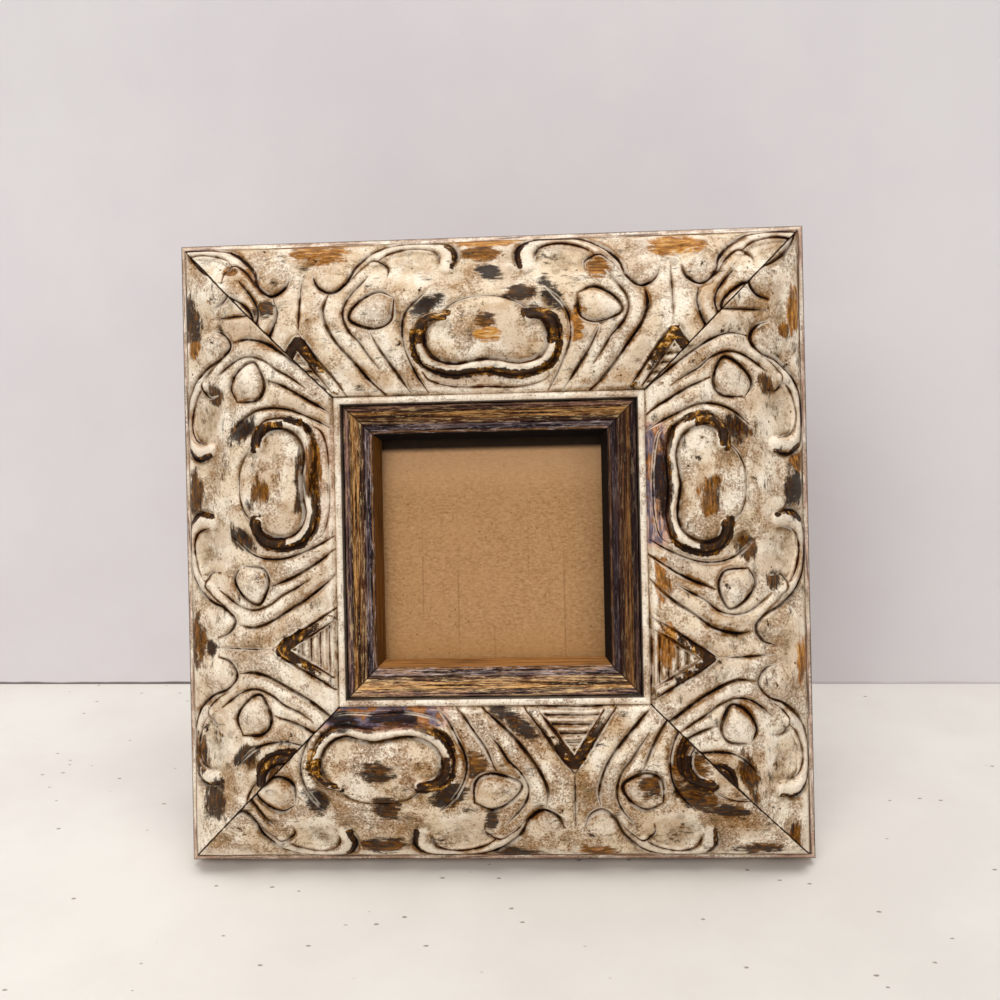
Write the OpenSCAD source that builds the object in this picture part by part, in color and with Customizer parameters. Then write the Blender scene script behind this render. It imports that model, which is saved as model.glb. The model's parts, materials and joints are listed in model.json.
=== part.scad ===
// Square baroque picture frame for a table or a wall.
// Four mitred rails carry a moulded ornament and a dark gilt slip round a small picture opening.
// Glass, a corrugated picture board, filler boards and an easel back lie in the rabbet behind it.
// It leans back on a hinged strut, and four turn buttons hold the easel back in.
// Each piece is drawn upright, with its back on the plane y = 0, its front towards -y and
// the middle of its bottom edge at x = 0, z = 0, and then leans back about that edge.

/* [Picture] */
// Side of the square picture, and of the rabbet that holds it
picture_side = 101.6; // [90:0.1:152.4]
// Play round the glass and the boards in the rabbet
pane_clearance = 0.8; // [0.3:0.1:1.5]
// Thickness of the glass
glass_t = 2; // [1.5:0.5:3]
// Thickness of each corrugated board
board_t = 5; // [3:0.5:6]
// Air between the glass and the picture board
glass_gap = 0.2; // [0.1:0.1:1]
// Thickness of the easel back
back_t = 3; // [2:0.5:4]

/* [Moulding widths] */
// Plain border along the outer edge
border_w = 2.5; // [1.5:0.5:4]
// Field that carries the moulded ornament
field_w = 63.5; // [56:0.5:72]
// White bead along the inner edge of the ornament
bead_w = 3; // [2:0.5:4]
// Slip from the bead to the sight edge
slip_w = 13.55; // [12.5:0.05:16]
// How far the slip laps over the edge of the picture
rabbet_lip = 6.35; // [4:0.05:8]

/* [Moulding heights] */
// Height of the outer side above the back
side_h = 17; // [12:0.5:22]
// Rise of the plain border towards the ornament
border_rise = 1.5; // [0.5:0.5:3]
// Height of the slip's seat above the rabbet
slip_step = 6; // [4:0.5:8]
// Height of the inner end of the dome above the slip's seat
heel_rise = 6.5; // [5:0.5:8]
// Height of the crown of the dome above its inner end
crown_rise = 2.5; // [1:0.5:4]
// Where the crown lies, as a share of the ornament's field
crown_place = 0.66; // [0.5:0.01:0.8]

/* [Ornament] */
// Thickness of the ornament's ground
ground_t = 1.2; // [1:0.1:2]
// Height of the ornament's highest forms above the ground
relief_h = 5; // [3:0.5:6]

/* [Slip] */
// Gap between the slip and the bead
slip_gap = 0.15; // [0.1:0.05:0.3]
// Width of the slip's raised outer edge
slip_edge_w = 2.6; // [1.5:0.1:3.5]
// Height of the slip's raised outer edge above its seat
slip_edge_rise = 6; // [5:0.5:7]
// Height of the slip's sight edge above its seat
slip_sight_rise = 2.6; // [1.5:0.1:4]
// Width of the slip's flat inner strip
slip_strip_w = 2.3; // [1.5:0.1:3]
// Width of the bevel at the sight edge
slip_bevel_w = 2.2; // [1:0.1:3]

/* [Easel] */
// How far the frame leans back, in degrees
lean = 12; // [10:1:15]
// Distance of the strut's hinge pin below the top of the picture
hinge_drop = 17.6; // [17:0.1:24]
// Width of the strut at its hinge
strut_top_w = 34; // [28:1:40]
// Width of the strut at its foot
strut_foot_w = 58; // [46:1:70]
// Thickness of the strut
strut_t = 3; // [2.5:0.5:3]
// Gap between the folded strut and the back
strut_gap = 0.4; // [0.3:0.1:0.6]
// Radius of the hinge pin
pin_r = 1; // [0.8:0.1:1.2]
// Running clearance round the hinge pin
pin_clearance = 0.05; // [0.03:0.01:0.08]
// Outer radius of the hinge's knuckles
knuckle_r = 2; // [1.8:0.1:2.2]
// Thickness of the hinge's leaves
leaf_t = 0.8; // [0.6:0.1:1]
// Width of the hinge
hinge_w = 26; // [22:1:28]
// Height of each hinge leaf from the pin
leaf_h = 15; // [14:1:16]

/* [Turn buttons] */
// Length of a turn button
button_l = 26; // [22:1:30]
// Width of a turn button
button_w = 9; // [8:0.5:10]
// Thickness of a turn button
button_t = 1.2; // [0.8:0.1:1.6]
// Gap between a turn button and the back
button_gap = 0.3; // [0.2:0.1:0.5]
// Distance of a button's screw from the rabbet
button_inset = 8.5; // [7:0.5:12]
// Distance of the buttons above and below the middle of the picture
button_spread = 28; // [24:1:34]
// Shank radius of a button's screw
screw_r = 1.75; // [1.5:0.05:2]
// Running clearance round a button's screw
screw_clearance = 0.06; // [0.03:0.01:0.1]
// Depth of a button's screw in the wood
screw_l = 11; // [8:1:14]
// Head radius of a button's screw
screw_head_r = 3.4; // [3:0.1:4]
// Head height of a button's screw
screw_head_h = 1.9; // [1.5:0.1:2.4]

/* [Hanger and corner nails] */
// Length of the sawtooth hanger
hanger_l = 46; // [40:1:60]
// Height of the sawtooth hanger
hanger_h = 9; // [8:0.5:12]
// Thickness of the sawtooth hanger
hanger_t = 0.8; // [0.6:0.1:1]
// How far the toothed middle stands off the back
hanger_stand = 2; // [1.5:0.1:3]
// Distance of the hanger's middle below the top edge
hanger_drop = 22; // [18:1:30]
// Shank radius of a hanger nail
nail_r = 0.7; // [0.6:0.05:0.9]
// Head radius of a hanger nail
nail_head_r = 1.8; // [1.5:0.1:2.2]
// Length of a hanger nail in the wood
nail_l = 9; // [7:1:12]
// Leg length of a corner nail
v_leg = 5; // [4:0.5:6]
// Thickness of a corner nail
v_t = 0.5; // [0.4:0.1:0.6]
// Depth of a corner nail
v_depth = 10; // [7:1:12]

/* [Hidden] */
$fn = 48;

// The board that shows through the opening, and the two filler boards behind it
board_count = 3;

moulding_w = border_w + field_w + bead_w + slip_w;
frame_side = picture_side + 2 * (moulding_w - rabbet_lip);
middle = frame_side / 2;
rabbet_r = moulding_w - rabbet_lip;
field_end = border_w + field_w;
bead_end = field_end + bead_w;
rabbet_depth = glass_t + glass_gap + board_count * board_t + back_t;
seat_h = rabbet_depth + slip_step;
heel_h = seat_h + heel_rise;
crown_h = heel_h + crown_rise;
border_h = side_h + border_rise;
pane_side = picture_side - 2 * pane_clearance;
// Clearance round a fixed screw, nail or rivet, extra depth of its hole, and how far a cut runs past a face
touch = 0.02;
hole_end = 0.5;
past = 1;

// Section of the dome under the ornament: a quarter wave up to the crown and one down to the bead.
field_rows = 24;
field_columns = 88;
crown_at = border_w + crown_place * field_w;
function field_r(i) = border_w + field_w * i / field_rows;
function dome_h(r) = r < crown_at
  ? border_h + (crown_h - border_h) * sin(90 * (r - border_w) / (crown_at - border_w))
  : crown_h - crown_rise * (1 - cos(90 * (r - crown_at) / (field_end - crown_at)));

// The ornament is drawn on a field of 63.5 mm, which is stretched to the real one.
// Along it a cartouche is at every even multiple of the half repeat and a triangle at every odd one.
drawn_field = 63.5;
drawn_border = 2.5;
drawn_half = 67;
// Highest and lowest places of the drawing above its ground
full_height = 5;
lowest = -0.6;
// For each rail, clockwise from the top: places along the clockwise way from its middle, and what is there
anchors = [
  [[-143, -2], [-73.5, -1], [0.5, 0], [72.5, 1], [142, 2]],
  [[-158, -2], [-91, -1], [-24, 0], [43, 1], [110, 2]],
  [[-98, -2], [-31, -1], [46.5, 0], [112.5, 1], [180, 2]],
  [[-104.5, -2], [-37.5, -1], [27, 0], [94, 1], [161, 2]],
];
function fold(t) = abs(t - 2 * round(t / 2));
// A rail is drawn as the bottom one, where the clockwise way runs towards -x
function drawn_u(x, k) = drawn_half * fold(lookup(-x, anchors[k]));
function drawn_v(r) = drawn_border + (r - border_w) * drawn_field / field_w;

// Valleys between the strands: points on the line, and how far the strands beside it sink towards it.
// They are the scroll, its inner line, the nut, the cartouche's rim, four strands, the triangle's border
// and the line above it.
scroll = [[12, 16], [11, 9], [15, 4.2], [25, 2.9], [36, 4.5], [43, 8.5], [48, 14], [51, 21], [56, 24.8],
  [61, 22], [63, 17]];
rim_inner = [[15, 37.5], [19.5, 38.5], [22, 42], [22, 47.5], [18.5, 52.5], [12, 54.8], [5, 54], [0, 53.5]];
rim_outer = [[14, 34.5], [21, 35.5], [25.5, 40], [26, 48], [22, 55.5], [13, 59], [5, 58.4], [0, 58]];
valleys = [
  [scroll, 0.8],
  [[[17, 14], [19, 8], [26, 5.8], [35, 8], [40, 12]], 0.6],
  [[[33, 28], [34, 37], [40, 39.7], [48.5, 35.8], [46, 29.5], [39, 25], [33, 28]], 0.85],
  [rim_inner, 0.5],
  [rim_outer, 0.7],
  [[[21, 24.5], [27, 31], [30, 38], [30, 47], [26, 57], [21, 65.5]], 0.85],
  [[[41, 41], [37, 50], [31, 60], [27, 65.5]], 0.85],
  [[[43, 18], [49, 26], [51, 33], [49, 40], [45, 45], [42, 50], [38, 56]], 0.75],
  [[[57, 26], [58, 33], [55, 42], [48, 52], [40, 62], [36.5, 65.5]], 0.95],
  [[[67, 40.5], [60, 51], [50, 66]], 0.8],
  [[[67, 47.5], [62, 54.5], [55.5, 64.5]], 0.5],
  [[[67, 17], [67, 40]], 0.7],
];
// Height of a strand, and how far from a valley it reaches it
strand_full = 2;
strand_reach = 3.6;
// Rolls: points on the middle line, half width and height.
// They are the scroll in two parts, the cartouche's rim and the triangle's border.
rolls = [
  [[[14.5, 15], [14, 9.5], [17, 6], [25, 4.4], [35, 6.3], [41, 10.5]], 3.4, 2],
  [[[41, 10.5], [47, 16], [50, 22]], 3.6, 1.1],
  [[[15.5, 36.5], [20.5, 37], [24, 41], [24, 48], [20, 54], [12, 57], [5, 56.2], [0, 55.8]], 2.7, 2.3],
  [[[67, 44], [61, 52.5], [52.7, 65]], 3.2, 1.5],
];
// Hills and hollows: place u, v, half length, half width, turn, height.
// They are the cartouche's tongue, the nut, the lobe, the two bumps at the edge, the hollow in the scroll,
// the notch and the ridge above the cartouche, the curl of its rim, the fan and the foot of the cartouche.
hills = [
  [0, 43, 23, 16, 0, 1.5],
  [40.8, 32.5, 9.5, 8, 20, 1.8],
  [56.5, 13.5, 8.5, 13, 0, 1.9],
  [0, 6.5, 15, 7, 0, 1.8],
  [67, 6, 16, 6.5, 0, 1.8],
  [27, 13.5, 13, 9, 10, -2],
  [22, 31, 8, 4.5, 45, -2.2],
  [16, 25, 26, 6, -18, 0.8],
  [15.5, 37, 4, 3.6, 0, 0.9],
  [67, 30, 8, 12, 0, 0.5],
  [8, 62, 26, 4, 0, -0.6],
];
// The triangle between its borders is sunk: where it starts, how its sides spread, and its depth
panel_start = 47.5;
panel_slope = 0.68;
panel_drop = 0.6;
function hill_at(u, v, g) =
  let (du = u - g[0], dv = v - g[1], c = cos(g[4]), s = sin(g[4]),
       e = pow((du * c + dv * s) / g[2], 2) + pow((dv * c - du * s) / g[3], 2))
  e < 1 ? g[5] * (1 - e) * (1 - e) : 0;
function piece_distance(p, a, b) =
  let (d = b - a, t = max(0, min(1, ((p - a) * d) / (d * d)))) norm(p - a - d * t);
function line_distance(p, line) = min([for (i = [1:len(line) - 1]) piece_distance(p, line[i - 1], line[i])]);
function sunk(p, g) = let (e = line_distance(p, g[0]) / strand_reach) e < 1 ? 1 - g[1] * (1 - e) * (1 - e) : 1;
function roll_at(p, g) = let (e = pow(line_distance(p, g[0]) / g[1], 2)) e < 1 ? g[2] * pow(1 - e, 0.75) : 0;
function product(list, i = 0) = i < len(list) ? list[i] * product(list, i + 1) : 1;
function sum(list, i = 0) = i < len(list) ? list[i] + sum(list, i + 1) : 0;
function in_panel(u, v) = v > panel_start && u > drawn_half - (v - panel_start) * panel_slope;
function relief(u, v) = relief_h / full_height * max(lowest, min(full_height,
  strand_full * product([for (g = valleys) sunk([u, v], g)])
  + sum([for (g = rolls) roll_at([u, v], g)])
  + sum([for (g = hills) hill_at(u, v, g)])
  - (in_panel(u, v) ? panel_drop : 0)));
// The relief dies out towards both edges of the field
outer_fade_w = 2.2;
inner_fade_w = 2;
function edge_fade(r) = min(1, (r - border_w) / outer_fade_w, (field_end - r) / inner_fade_w);
function top_h(x, r, k) =
  dome_h(r) + ground_t + relief(drawn_u(x, k), drawn_v(r)) * max(0, edge_fade(r));

// Strut: its hinge pin stands off the back so that the folded strut lies flat, and its foot meets the ground.
open_angle = 2 * lean;
hinge_y = strut_gap + strut_t + leaf_t - knuckle_r;
hinge_z = middle + picture_side / 2 - hinge_drop;
strut_l = (hinge_z * cos(lean) - hinge_y * sin(lean)) / cos(open_angle - lean);
strut_start = knuckle_r + 1.2;
strut_y = strut_gap - hinge_y;
knuckle_w = hinge_w / 3;
knuckle_play = 0.15;
knuckle_room = 0.4;
// The leaf on the strut ends above the pin in a heel, which meets the fixed leaf when the strut is open
heel_l = 4.5;
heel_y = (leaf_t - hinge_y + touch + heel_l * sin(open_angle)) / cos(open_angle);
pin_head_r = 1.5;
pin_head_l = 0.8;
rivet_r = 1.2;
rivet_head_r = 2.4;
rivet_head_h = 0.7;
rivet_x = hinge_w / 3;
rivet_from_pin = leaf_h * 0.62;

// Span from front to back when it leans, which sets the origin under its middle
strut_foot_t = (strut_y + strut_t) / cos(open_angle - lean);
foot_y = (hinge_y + strut_l * sin(open_angle)) * cos(lean) + (hinge_z - strut_l * cos(open_angle)) * sin(lean)
  + strut_foot_t;
front_y = min([for (i = [0:field_rows], j = [0:field_columns])
  let (r = field_r(i), x = (2 * j / field_columns - 1) * (middle - r))
  -top_h(x, r, 2) * cos(lean) + r * sin(lean)]);

module standing() {
  translate([0, -(foot_y + front_y) / 2, 0]) rotate([-lean, 0, 0]) children();
}

// Turns a piece of the bottom rail into the same piece of rail k, clockwise from the top
module on_rail(k) {
  translate([0, 0, middle]) rotate([0, 180 + 90 * k, 0]) translate([0, 0, -middle]) children();
}

// Wedge that cuts a stick of moulding to its two mitres
module mitre_wedge() {
  rotate([90, 0, 0]) linear_extrude(crown_h + past)
    polygon([[-middle, 0], [middle, 0], [0, middle]]);
}

// Stick of moulding along x from a section given as distance from the edge and height above the back
module stick(section) {
  intersection() {
    translate([-middle, 0, 0]) rotate([90, 0, 90]) linear_extrude(frame_side)
      polygon([for (p = section) [-p[1], p[0]]]);
    mitre_wedge();
  }
}

// The bead has straight sides up to this height above the heel, and a flat arch over them
bead_side_h = 1;
bead_arch_h = 1.8;
bead_steps = 8;
rail_section = concat(
  [[0, 0], [0, side_h]],
  [for (i = [0:field_rows]) [field_r(i), dome_h(field_r(i))]],
  [for (i = [0:bead_steps]) let (a = 180 - 180 * i / bead_steps)
    [field_end + bead_w / 2 + bead_w / 2 * cos(a), heel_h + bead_side_h + bead_arch_h * sin(a)]],
  [[bead_end, seat_h], [rabbet_r, seat_h], [rabbet_r, 0]]
);

// Slip: a raised edge, a step down to a sloping band, a thin line, a flat strip and the sight edge's bevel
slip_top = seat_h + slip_edge_rise;
slip_sight = seat_h + slip_sight_rise;
slip_outer_r = bead_end + slip_gap;
slip_edge_end = bead_end + slip_edge_w;
strip_r = moulding_w - slip_bevel_w - slip_strip_w;
slip_chamfer = 0.5;
slip_step_w = 1.2;
slip_step_drop = 1.5;
slip_line_w = 0.9;
slip_line_side = 0.2;
slip_line_rise = 0.9;
bevel_foot = 1.5;
slip_section = [
  [slip_outer_r, seat_h],
  [slip_outer_r, slip_top - slip_chamfer],
  [slip_outer_r + slip_chamfer, slip_top],
  [slip_edge_end - slip_chamfer, slip_top],
  [slip_edge_end, slip_top - slip_chamfer],
  [slip_edge_end + slip_step_w, slip_top - slip_step_drop],
  [strip_r - slip_line_w, slip_sight + slip_line_rise / 2],
  [strip_r - slip_line_w + slip_line_side, slip_sight + slip_line_rise],
  [strip_r - slip_line_side, slip_sight + slip_line_rise],
  [strip_r, slip_sight + slip_line_rise / 2],
  [moulding_w - slip_bevel_w, slip_sight],
  [moulding_w, rabbet_depth + bevel_foot],
  [moulding_w, rabbet_depth],
  [rabbet_r, rabbet_depth],
  [rabbet_r, seat_h],
];

// Ornament: a skin that follows the dome below and the moulded relief above.
// Its ends lie in the mitres, and its underside has corners only there.
module ornament(k) {
  m = field_columns;
  n = field_rows;
  mid = floor(m / 2);
  top = [for (i = [0:n], j = [0:m])
    let (r = field_r(i), x = (2 * j / m - 1) * (middle - r)) [x, -top_h(x, r, k), r]];
  under = [for (i = [0:n], side = [-1, 1]) let (r = field_r(i)) [side * (middle - r), -dome_h(r), r]];
  base = (n + 1) * (m + 1);
  last = n * (m + 1);
  left_low = base;
  left_high = base + 2 * n;
  faces = concat(
    [for (i = [0:n - 1], j = [0:m - 1]) let (a = i * (m + 1) + j) [a, a + m + 2, a + 1]],
    [for (i = [0:n - 1], j = [0:m - 1]) let (a = i * (m + 1) + j) [a, a + m + 1, a + m + 2]],
    [for (i = [0:n - 1]) let (b = base + 2 * i) [b, b + 1, b + 3]],
    [for (i = [0:n - 1]) let (b = base + 2 * i) [b, b + 3, b + 2]],
    [for (j = [0:m - 1]) [j, j + 1, left_low + (j < mid ? 0 : 1)]],
    [for (j = [0:m - 1]) [last + j + 1, last + j, left_high + (j < mid ? 0 : 1)]],
    [[mid, left_low + 1, left_low], [last + mid, left_high, left_high + 1]],
    [for (i = [0:n - 1]) let (a = i * (m + 1), b = base + 2 * i) [a + m + 1, a, b]],
    [for (i = [0:n - 1]) let (a = i * (m + 1), b = base + 2 * i) [a + m + 1, b, b + 2]],
    [for (i = [0:n - 1]) let (a = i * (m + 1) + m, b = base + 2 * i + 1) [a, a + m + 1, b + 2]],
    [for (i = [0:n - 1]) let (a = i * (m + 1) + m, b = base + 2 * i + 1) [a, b + 2, b]]
  );
  polyhedron(points = concat(top, under), faces = faces, convexity = 8);
}

// Places of the four turn buttons: right or left of the picture, above or below its middle
button_x = picture_side / 2 + button_inset;
module at_button(side, level) {
  translate([side * button_x, 0, middle + level * button_spread]) children();
}

// Cylinder along y, from the back plane's side y0 with length l
module rod_y(r, y0, l) {
  translate([0, y0, 0]) rotate([-90, 0, 0]) cylinder(r = r, h = l);
}

module all_button_places() {
  for (side = [-1, 1], level = [-1, 1]) at_button(side, level) children();
}

// Sawtooth hanger: flat ends for the nails, a slope at each end, and the toothed middle between them
hanger_z = frame_side - hanger_drop;
hanger_nail_x = hanger_l / 2 - 4;
hanger_end = 7.5;
hanger_slope = 2.5;
hanger_bend = 0.3;
hanger_teeth = 9;
tooth_h = 2.2;
nail_head_h = 0.6;

// Two corner nails in each corner, on the mitre at these shares of its length
v_places = [0.28, 0.62];
module v_nail() {
  rotate([90, 0, 0]) linear_extrude(v_depth)
    polygon([[0, v_t], [v_leg, v_t + v_leg], [v_leg, v_leg], [0, 0], [-v_leg, v_leg], [-v_leg, v_t + v_leg]]);
}
module corner_nail_pair() {
  for (s = v_places) translate([-middle + s * rabbet_r, 0, s * rabbet_r])
    rotate([0, 45, 0]) v_nail();
}

module rail(k) {
  difference() {
    on_rail(k) stick(rail_section);
    for (q = [0:3]) on_rail(q) corner_nail_pair();
    all_button_places() rod_y(screw_r + touch, -screw_l - hole_end, screw_l + hole_end + past);
    for (side = [-1, 1]) translate([side * hanger_nail_x, 0, hanger_z])
      rod_y(nail_r + touch, -nail_l - hole_end, nail_l + hole_end + past);
  }
}

module slab(side, y_front, thick) {
  translate([-side / 2, y_front, middle - side / 2]) cube([side, thick, side]);
}
board_front = -rabbet_depth + glass_t + glass_gap;

module rivet_pair(z, y_leaf, through) {
  for (side = [-1, 1]) translate([side * rivet_x, 0, z]) {
    rod_y(rivet_r, y_leaf - through, through);
    rod_y(rivet_head_r, y_leaf, rivet_head_h);
  }
}
module rivet_holes(z) {
  reach = back_t + knuckle_r + strut_t;
  for (side = [-1, 1]) translate([side * rivet_x, 0, z]) rod_y(rivet_r + touch, -reach, 2 * reach);
}

// Knuckle of the hinge round the pin, between two places along x
module knuckle(x0, x1) {
  translate([x0, 0, 0]) rotate([0, 90, 0]) cylinder(r = knuckle_r, h = x1 - x0);
}
module pin_hole() {
  translate([-hinge_w, 0, 0]) rotate([0, 90, 0]) cylinder(r = pin_r + pin_clearance, h = 2 * hinge_w);
}
module at_pin() {
  translate([0, hinge_y, hinge_z]) children();
}
module opened() {
  at_pin() rotate([open_angle, 0, 0]) children();
}

// Cut corners at the strut's top, and how far its foot is drawn past the ground before it is cut there
strut_corner = 4;
strut_over = 4;
module strut_outline() {
  top = strut_top_w / 2;
  foot = strut_foot_w / 2;
  polygon([[-top, -strut_start - strut_corner], [-top + strut_corner, -strut_start],
    [top - strut_corner, -strut_start], [top, -strut_start - strut_corner],
    [foot, -strut_l - strut_over], [-foot, -strut_l - strut_over]]);
}

module turn_button() {
  reach = button_l - button_w;
  difference() {
    union() {
      rod_y(button_w / 2, button_gap, button_t);
      translate([-reach, 0, 0]) rod_y(button_w / 2, button_gap, button_t);
      translate([-reach, button_gap, -button_w / 2]) cube([reach, button_t, button_w]);
    }
    rod_y(screw_r + screw_clearance, button_gap - past, button_t + 2 * past);
  }
}

module top_rail() { color("ivory") standing() rail(0); }
module right_rail() { color("ivory") standing() rail(1); }
module bottom_rail() { color("ivory") standing() rail(2); }
module left_rail() { color("ivory") standing() rail(3); }

module top_ornament() { color("antiquewhite") standing() on_rail(0) ornament(0); }
module right_ornament() { color("antiquewhite") standing() on_rail(1) ornament(1); }
module bottom_ornament() { color("antiquewhite") standing() on_rail(2) ornament(2); }
module left_ornament() { color("antiquewhite") standing() on_rail(3) ornament(3); }

module top_slip() { color("saddlebrown") standing() on_rail(0) stick(slip_section); }
module right_slip() { color("saddlebrown") standing() on_rail(1) stick(slip_section); }
module bottom_slip() { color("saddlebrown") standing() on_rail(2) stick(slip_section); }
module left_slip() { color("saddlebrown") standing() on_rail(3) stick(slip_section); }

module glass_pane() {
  color("lightcyan", 0.35) standing() slab(pane_side, -rabbet_depth, glass_t);
}
module picture_board() {
  color("burlywood") standing() slab(pane_side, board_front, board_t);
}
module filler_board_front() {
  color("burlywood") standing() slab(pane_side, board_front + board_t, board_t);
}
module filler_board_rear() {
  color("burlywood") standing() slab(pane_side, board_front + 2 * board_t, board_t);
}
module easel_back() {
  color("dimgray") standing() difference() {
    slab(pane_side, -back_t, back_t);
    rivet_holes(hinge_z + rivet_from_pin);
  }
}

module hinge_leaf_fixed() {
  ear_start = knuckle_r / 2;
  leaf_start = knuckle_r + knuckle_room;
  color("darkgoldenrod") standing() difference() {
    union() {
      translate([-hinge_w / 2, 0, hinge_z + leaf_start]) cube([hinge_w, leaf_t, leaf_h - leaf_start]);
      for (x = [-hinge_w / 2, knuckle_w / 2]) {
        translate([x, 0, hinge_z + ear_start]) cube([knuckle_w, leaf_t, leaf_start]);
        at_pin() knuckle(x, x + knuckle_w);
      }
    }
    at_pin() pin_hole();
    rivet_holes(hinge_z + rivet_from_pin);
  }
}
module hinge_pin() {
  color("silver") standing() at_pin() {
    translate([-hinge_w / 2, 0, 0]) rotate([0, 90, 0]) cylinder(r = pin_r, h = hinge_w);
    for (x = [-hinge_w / 2 - pin_head_l, hinge_w / 2]) translate([x, 0, 0])
      rotate([0, 90, 0]) cylinder(r = pin_head_r, h = pin_head_l);
  }
}
module back_rivets() {
  color("silver") standing() rivet_pair(hinge_z + rivet_from_pin, leaf_t, leaf_t + back_t);
}
module hinge_leaf_moving() {
  half = knuckle_w / 2 - knuckle_play;
  color("darkgoldenrod") standing() opened() difference() {
    union() {
      translate([-hinge_w / 2, strut_y + strut_t, -leaf_h])
        cube([hinge_w, leaf_t, leaf_h - knuckle_r - knuckle_room]);
      translate([-half, strut_y + strut_t, -strut_start]) cube([2 * half, leaf_t, strut_start]);
      translate([-half, heel_y, 0]) cube([2 * half, leaf_t, heel_l]);
      knuckle(-half, half);
    }
    pin_hole();
    translate([0, 0, -rivet_from_pin]) rivet_holes(0);
  }
}
module strut_leg() {
  color("dimgray") standing() difference() {
    opened() difference() {
      translate([0, strut_y + strut_t, 0]) rotate([90, 0, 0]) linear_extrude(strut_t) strut_outline();
      translate([0, 0, -rivet_from_pin]) rivet_holes(0);
    }
    rotate([lean, 0, 0]) translate([-strut_foot_w, 0, -2 * strut_over])
      cube([2 * strut_foot_w, strut_l, 2 * strut_over]);
  }
}
module strut_rivets() {
  color("silver") standing() opened()
    rivet_pair(-rivet_from_pin, strut_y + strut_t + leaf_t, leaf_t + strut_t);
}

module turn_button_upper_left() {
  color("goldenrod") standing() at_button(-1, 1) mirror([1, 0, 0]) turn_button();
}
module turn_button_upper_right() { color("goldenrod") standing() at_button(1, 1) turn_button(); }
module turn_button_lower_left() {
  color("goldenrod") standing() at_button(-1, -1) mirror([1, 0, 0]) turn_button();
}
module turn_button_lower_right() { color("goldenrod") standing() at_button(1, -1) turn_button(); }
// A cross-slotted screw whose head stands just off the button
screw_head_gap = 0.1;
slot_w = 0.7;
slot_depth = 0.8;
module turn_button_screws() {
  head_y = button_gap + button_t + screw_head_gap;
  color("silver") standing() all_button_places() difference() {
    union() {
      rod_y(screw_r, -screw_l, screw_l + head_y);
      rod_y(screw_head_r, head_y, screw_head_h);
    }
    for (turn = [0, 90]) translate([0, head_y + screw_head_h, 0]) rotate([0, turn, 0])
      translate([-screw_r, -slot_depth, -slot_w / 2]) cube([2 * screw_r, slot_depth + past, slot_w]);
  }
}

module corner_nails() {
  color("silver") standing() for (q = [0:3]) on_rail(q) corner_nail_pair();
}

module sawtooth_hanger() {
  flat = hanger_l / 2 - hanger_end;
  raised = flat - hanger_slope;
  pitch = 2 * raised / hanger_teeth;
  back = hanger_stand + hanger_t;
  color("darkgoldenrod") standing() translate([0, 0, hanger_z]) difference() {
    translate([0, 0, -hanger_h / 2]) linear_extrude(hanger_h) polygon([
      [-hanger_l / 2, 0], [-flat, 0], [-raised, hanger_stand], [raised, hanger_stand],
      [flat, 0], [hanger_l / 2, 0], [hanger_l / 2, hanger_t], [flat + hanger_bend, hanger_t],
      [raised + hanger_bend, back], [-raised - hanger_bend, back],
      [-flat - hanger_bend, hanger_t], [-hanger_l / 2, hanger_t]]);
    for (i = [0:hanger_teeth - 1]) translate([-raised + pitch * (i + 0.5), -past, -hanger_h / 2])
      rotate([-90, 0, 0]) linear_extrude(back + 2 * past)
        polygon([[-pitch / 2, 0.01], [pitch / 2, 0.01], [0, -tooth_h]]);
    for (side = [-1, 1]) translate([side * hanger_nail_x, 0, 0])
      rod_y(nail_r + touch, -past, hanger_t + 2 * past);
  }
}
module hanger_nails() {
  color("silver") standing() for (side = [-1, 1]) translate([side * hanger_nail_x, 0, hanger_z]) {
    rod_y(nail_r, -nail_l, nail_l + hanger_t);
    rod_y(nail_head_r, hanger_t, nail_head_h);
  }
}

top_rail();
right_rail();
bottom_rail();
left_rail();
top_ornament();
right_ornament();
bottom_ornament();
left_ornament();
top_slip();
right_slip();
bottom_slip();
left_slip();
glass_pane();
picture_board();
filler_board_front();
filler_board_rear();
easel_back();
hinge_leaf_fixed();
hinge_pin();
back_rivets();
hinge_leaf_moving();
strut_leg();
strut_rivets();
turn_button_upper_left();
turn_button_upper_right();
turn_button_lower_left();
turn_button_lower_right();
turn_button_screws();
corner_nails();
sawtooth_hanger();
hanger_nails();
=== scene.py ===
"""Looks of a square baroque picture frame that stands on its strut.

The frame's solids come packed, in metres. This file adds the moulded ornament as four
detailed skins, gives every piece its finish, and sets the shelf, the wall, the light and the camera.
"""

import json
import math

import bpy
import numpy as np
from bpy.props import FloatProperty, FloatVectorProperty, PointerProperty
from bpy.types import Operator, Panel, PropertyGroup
from mathutils import Matrix, Vector


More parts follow.
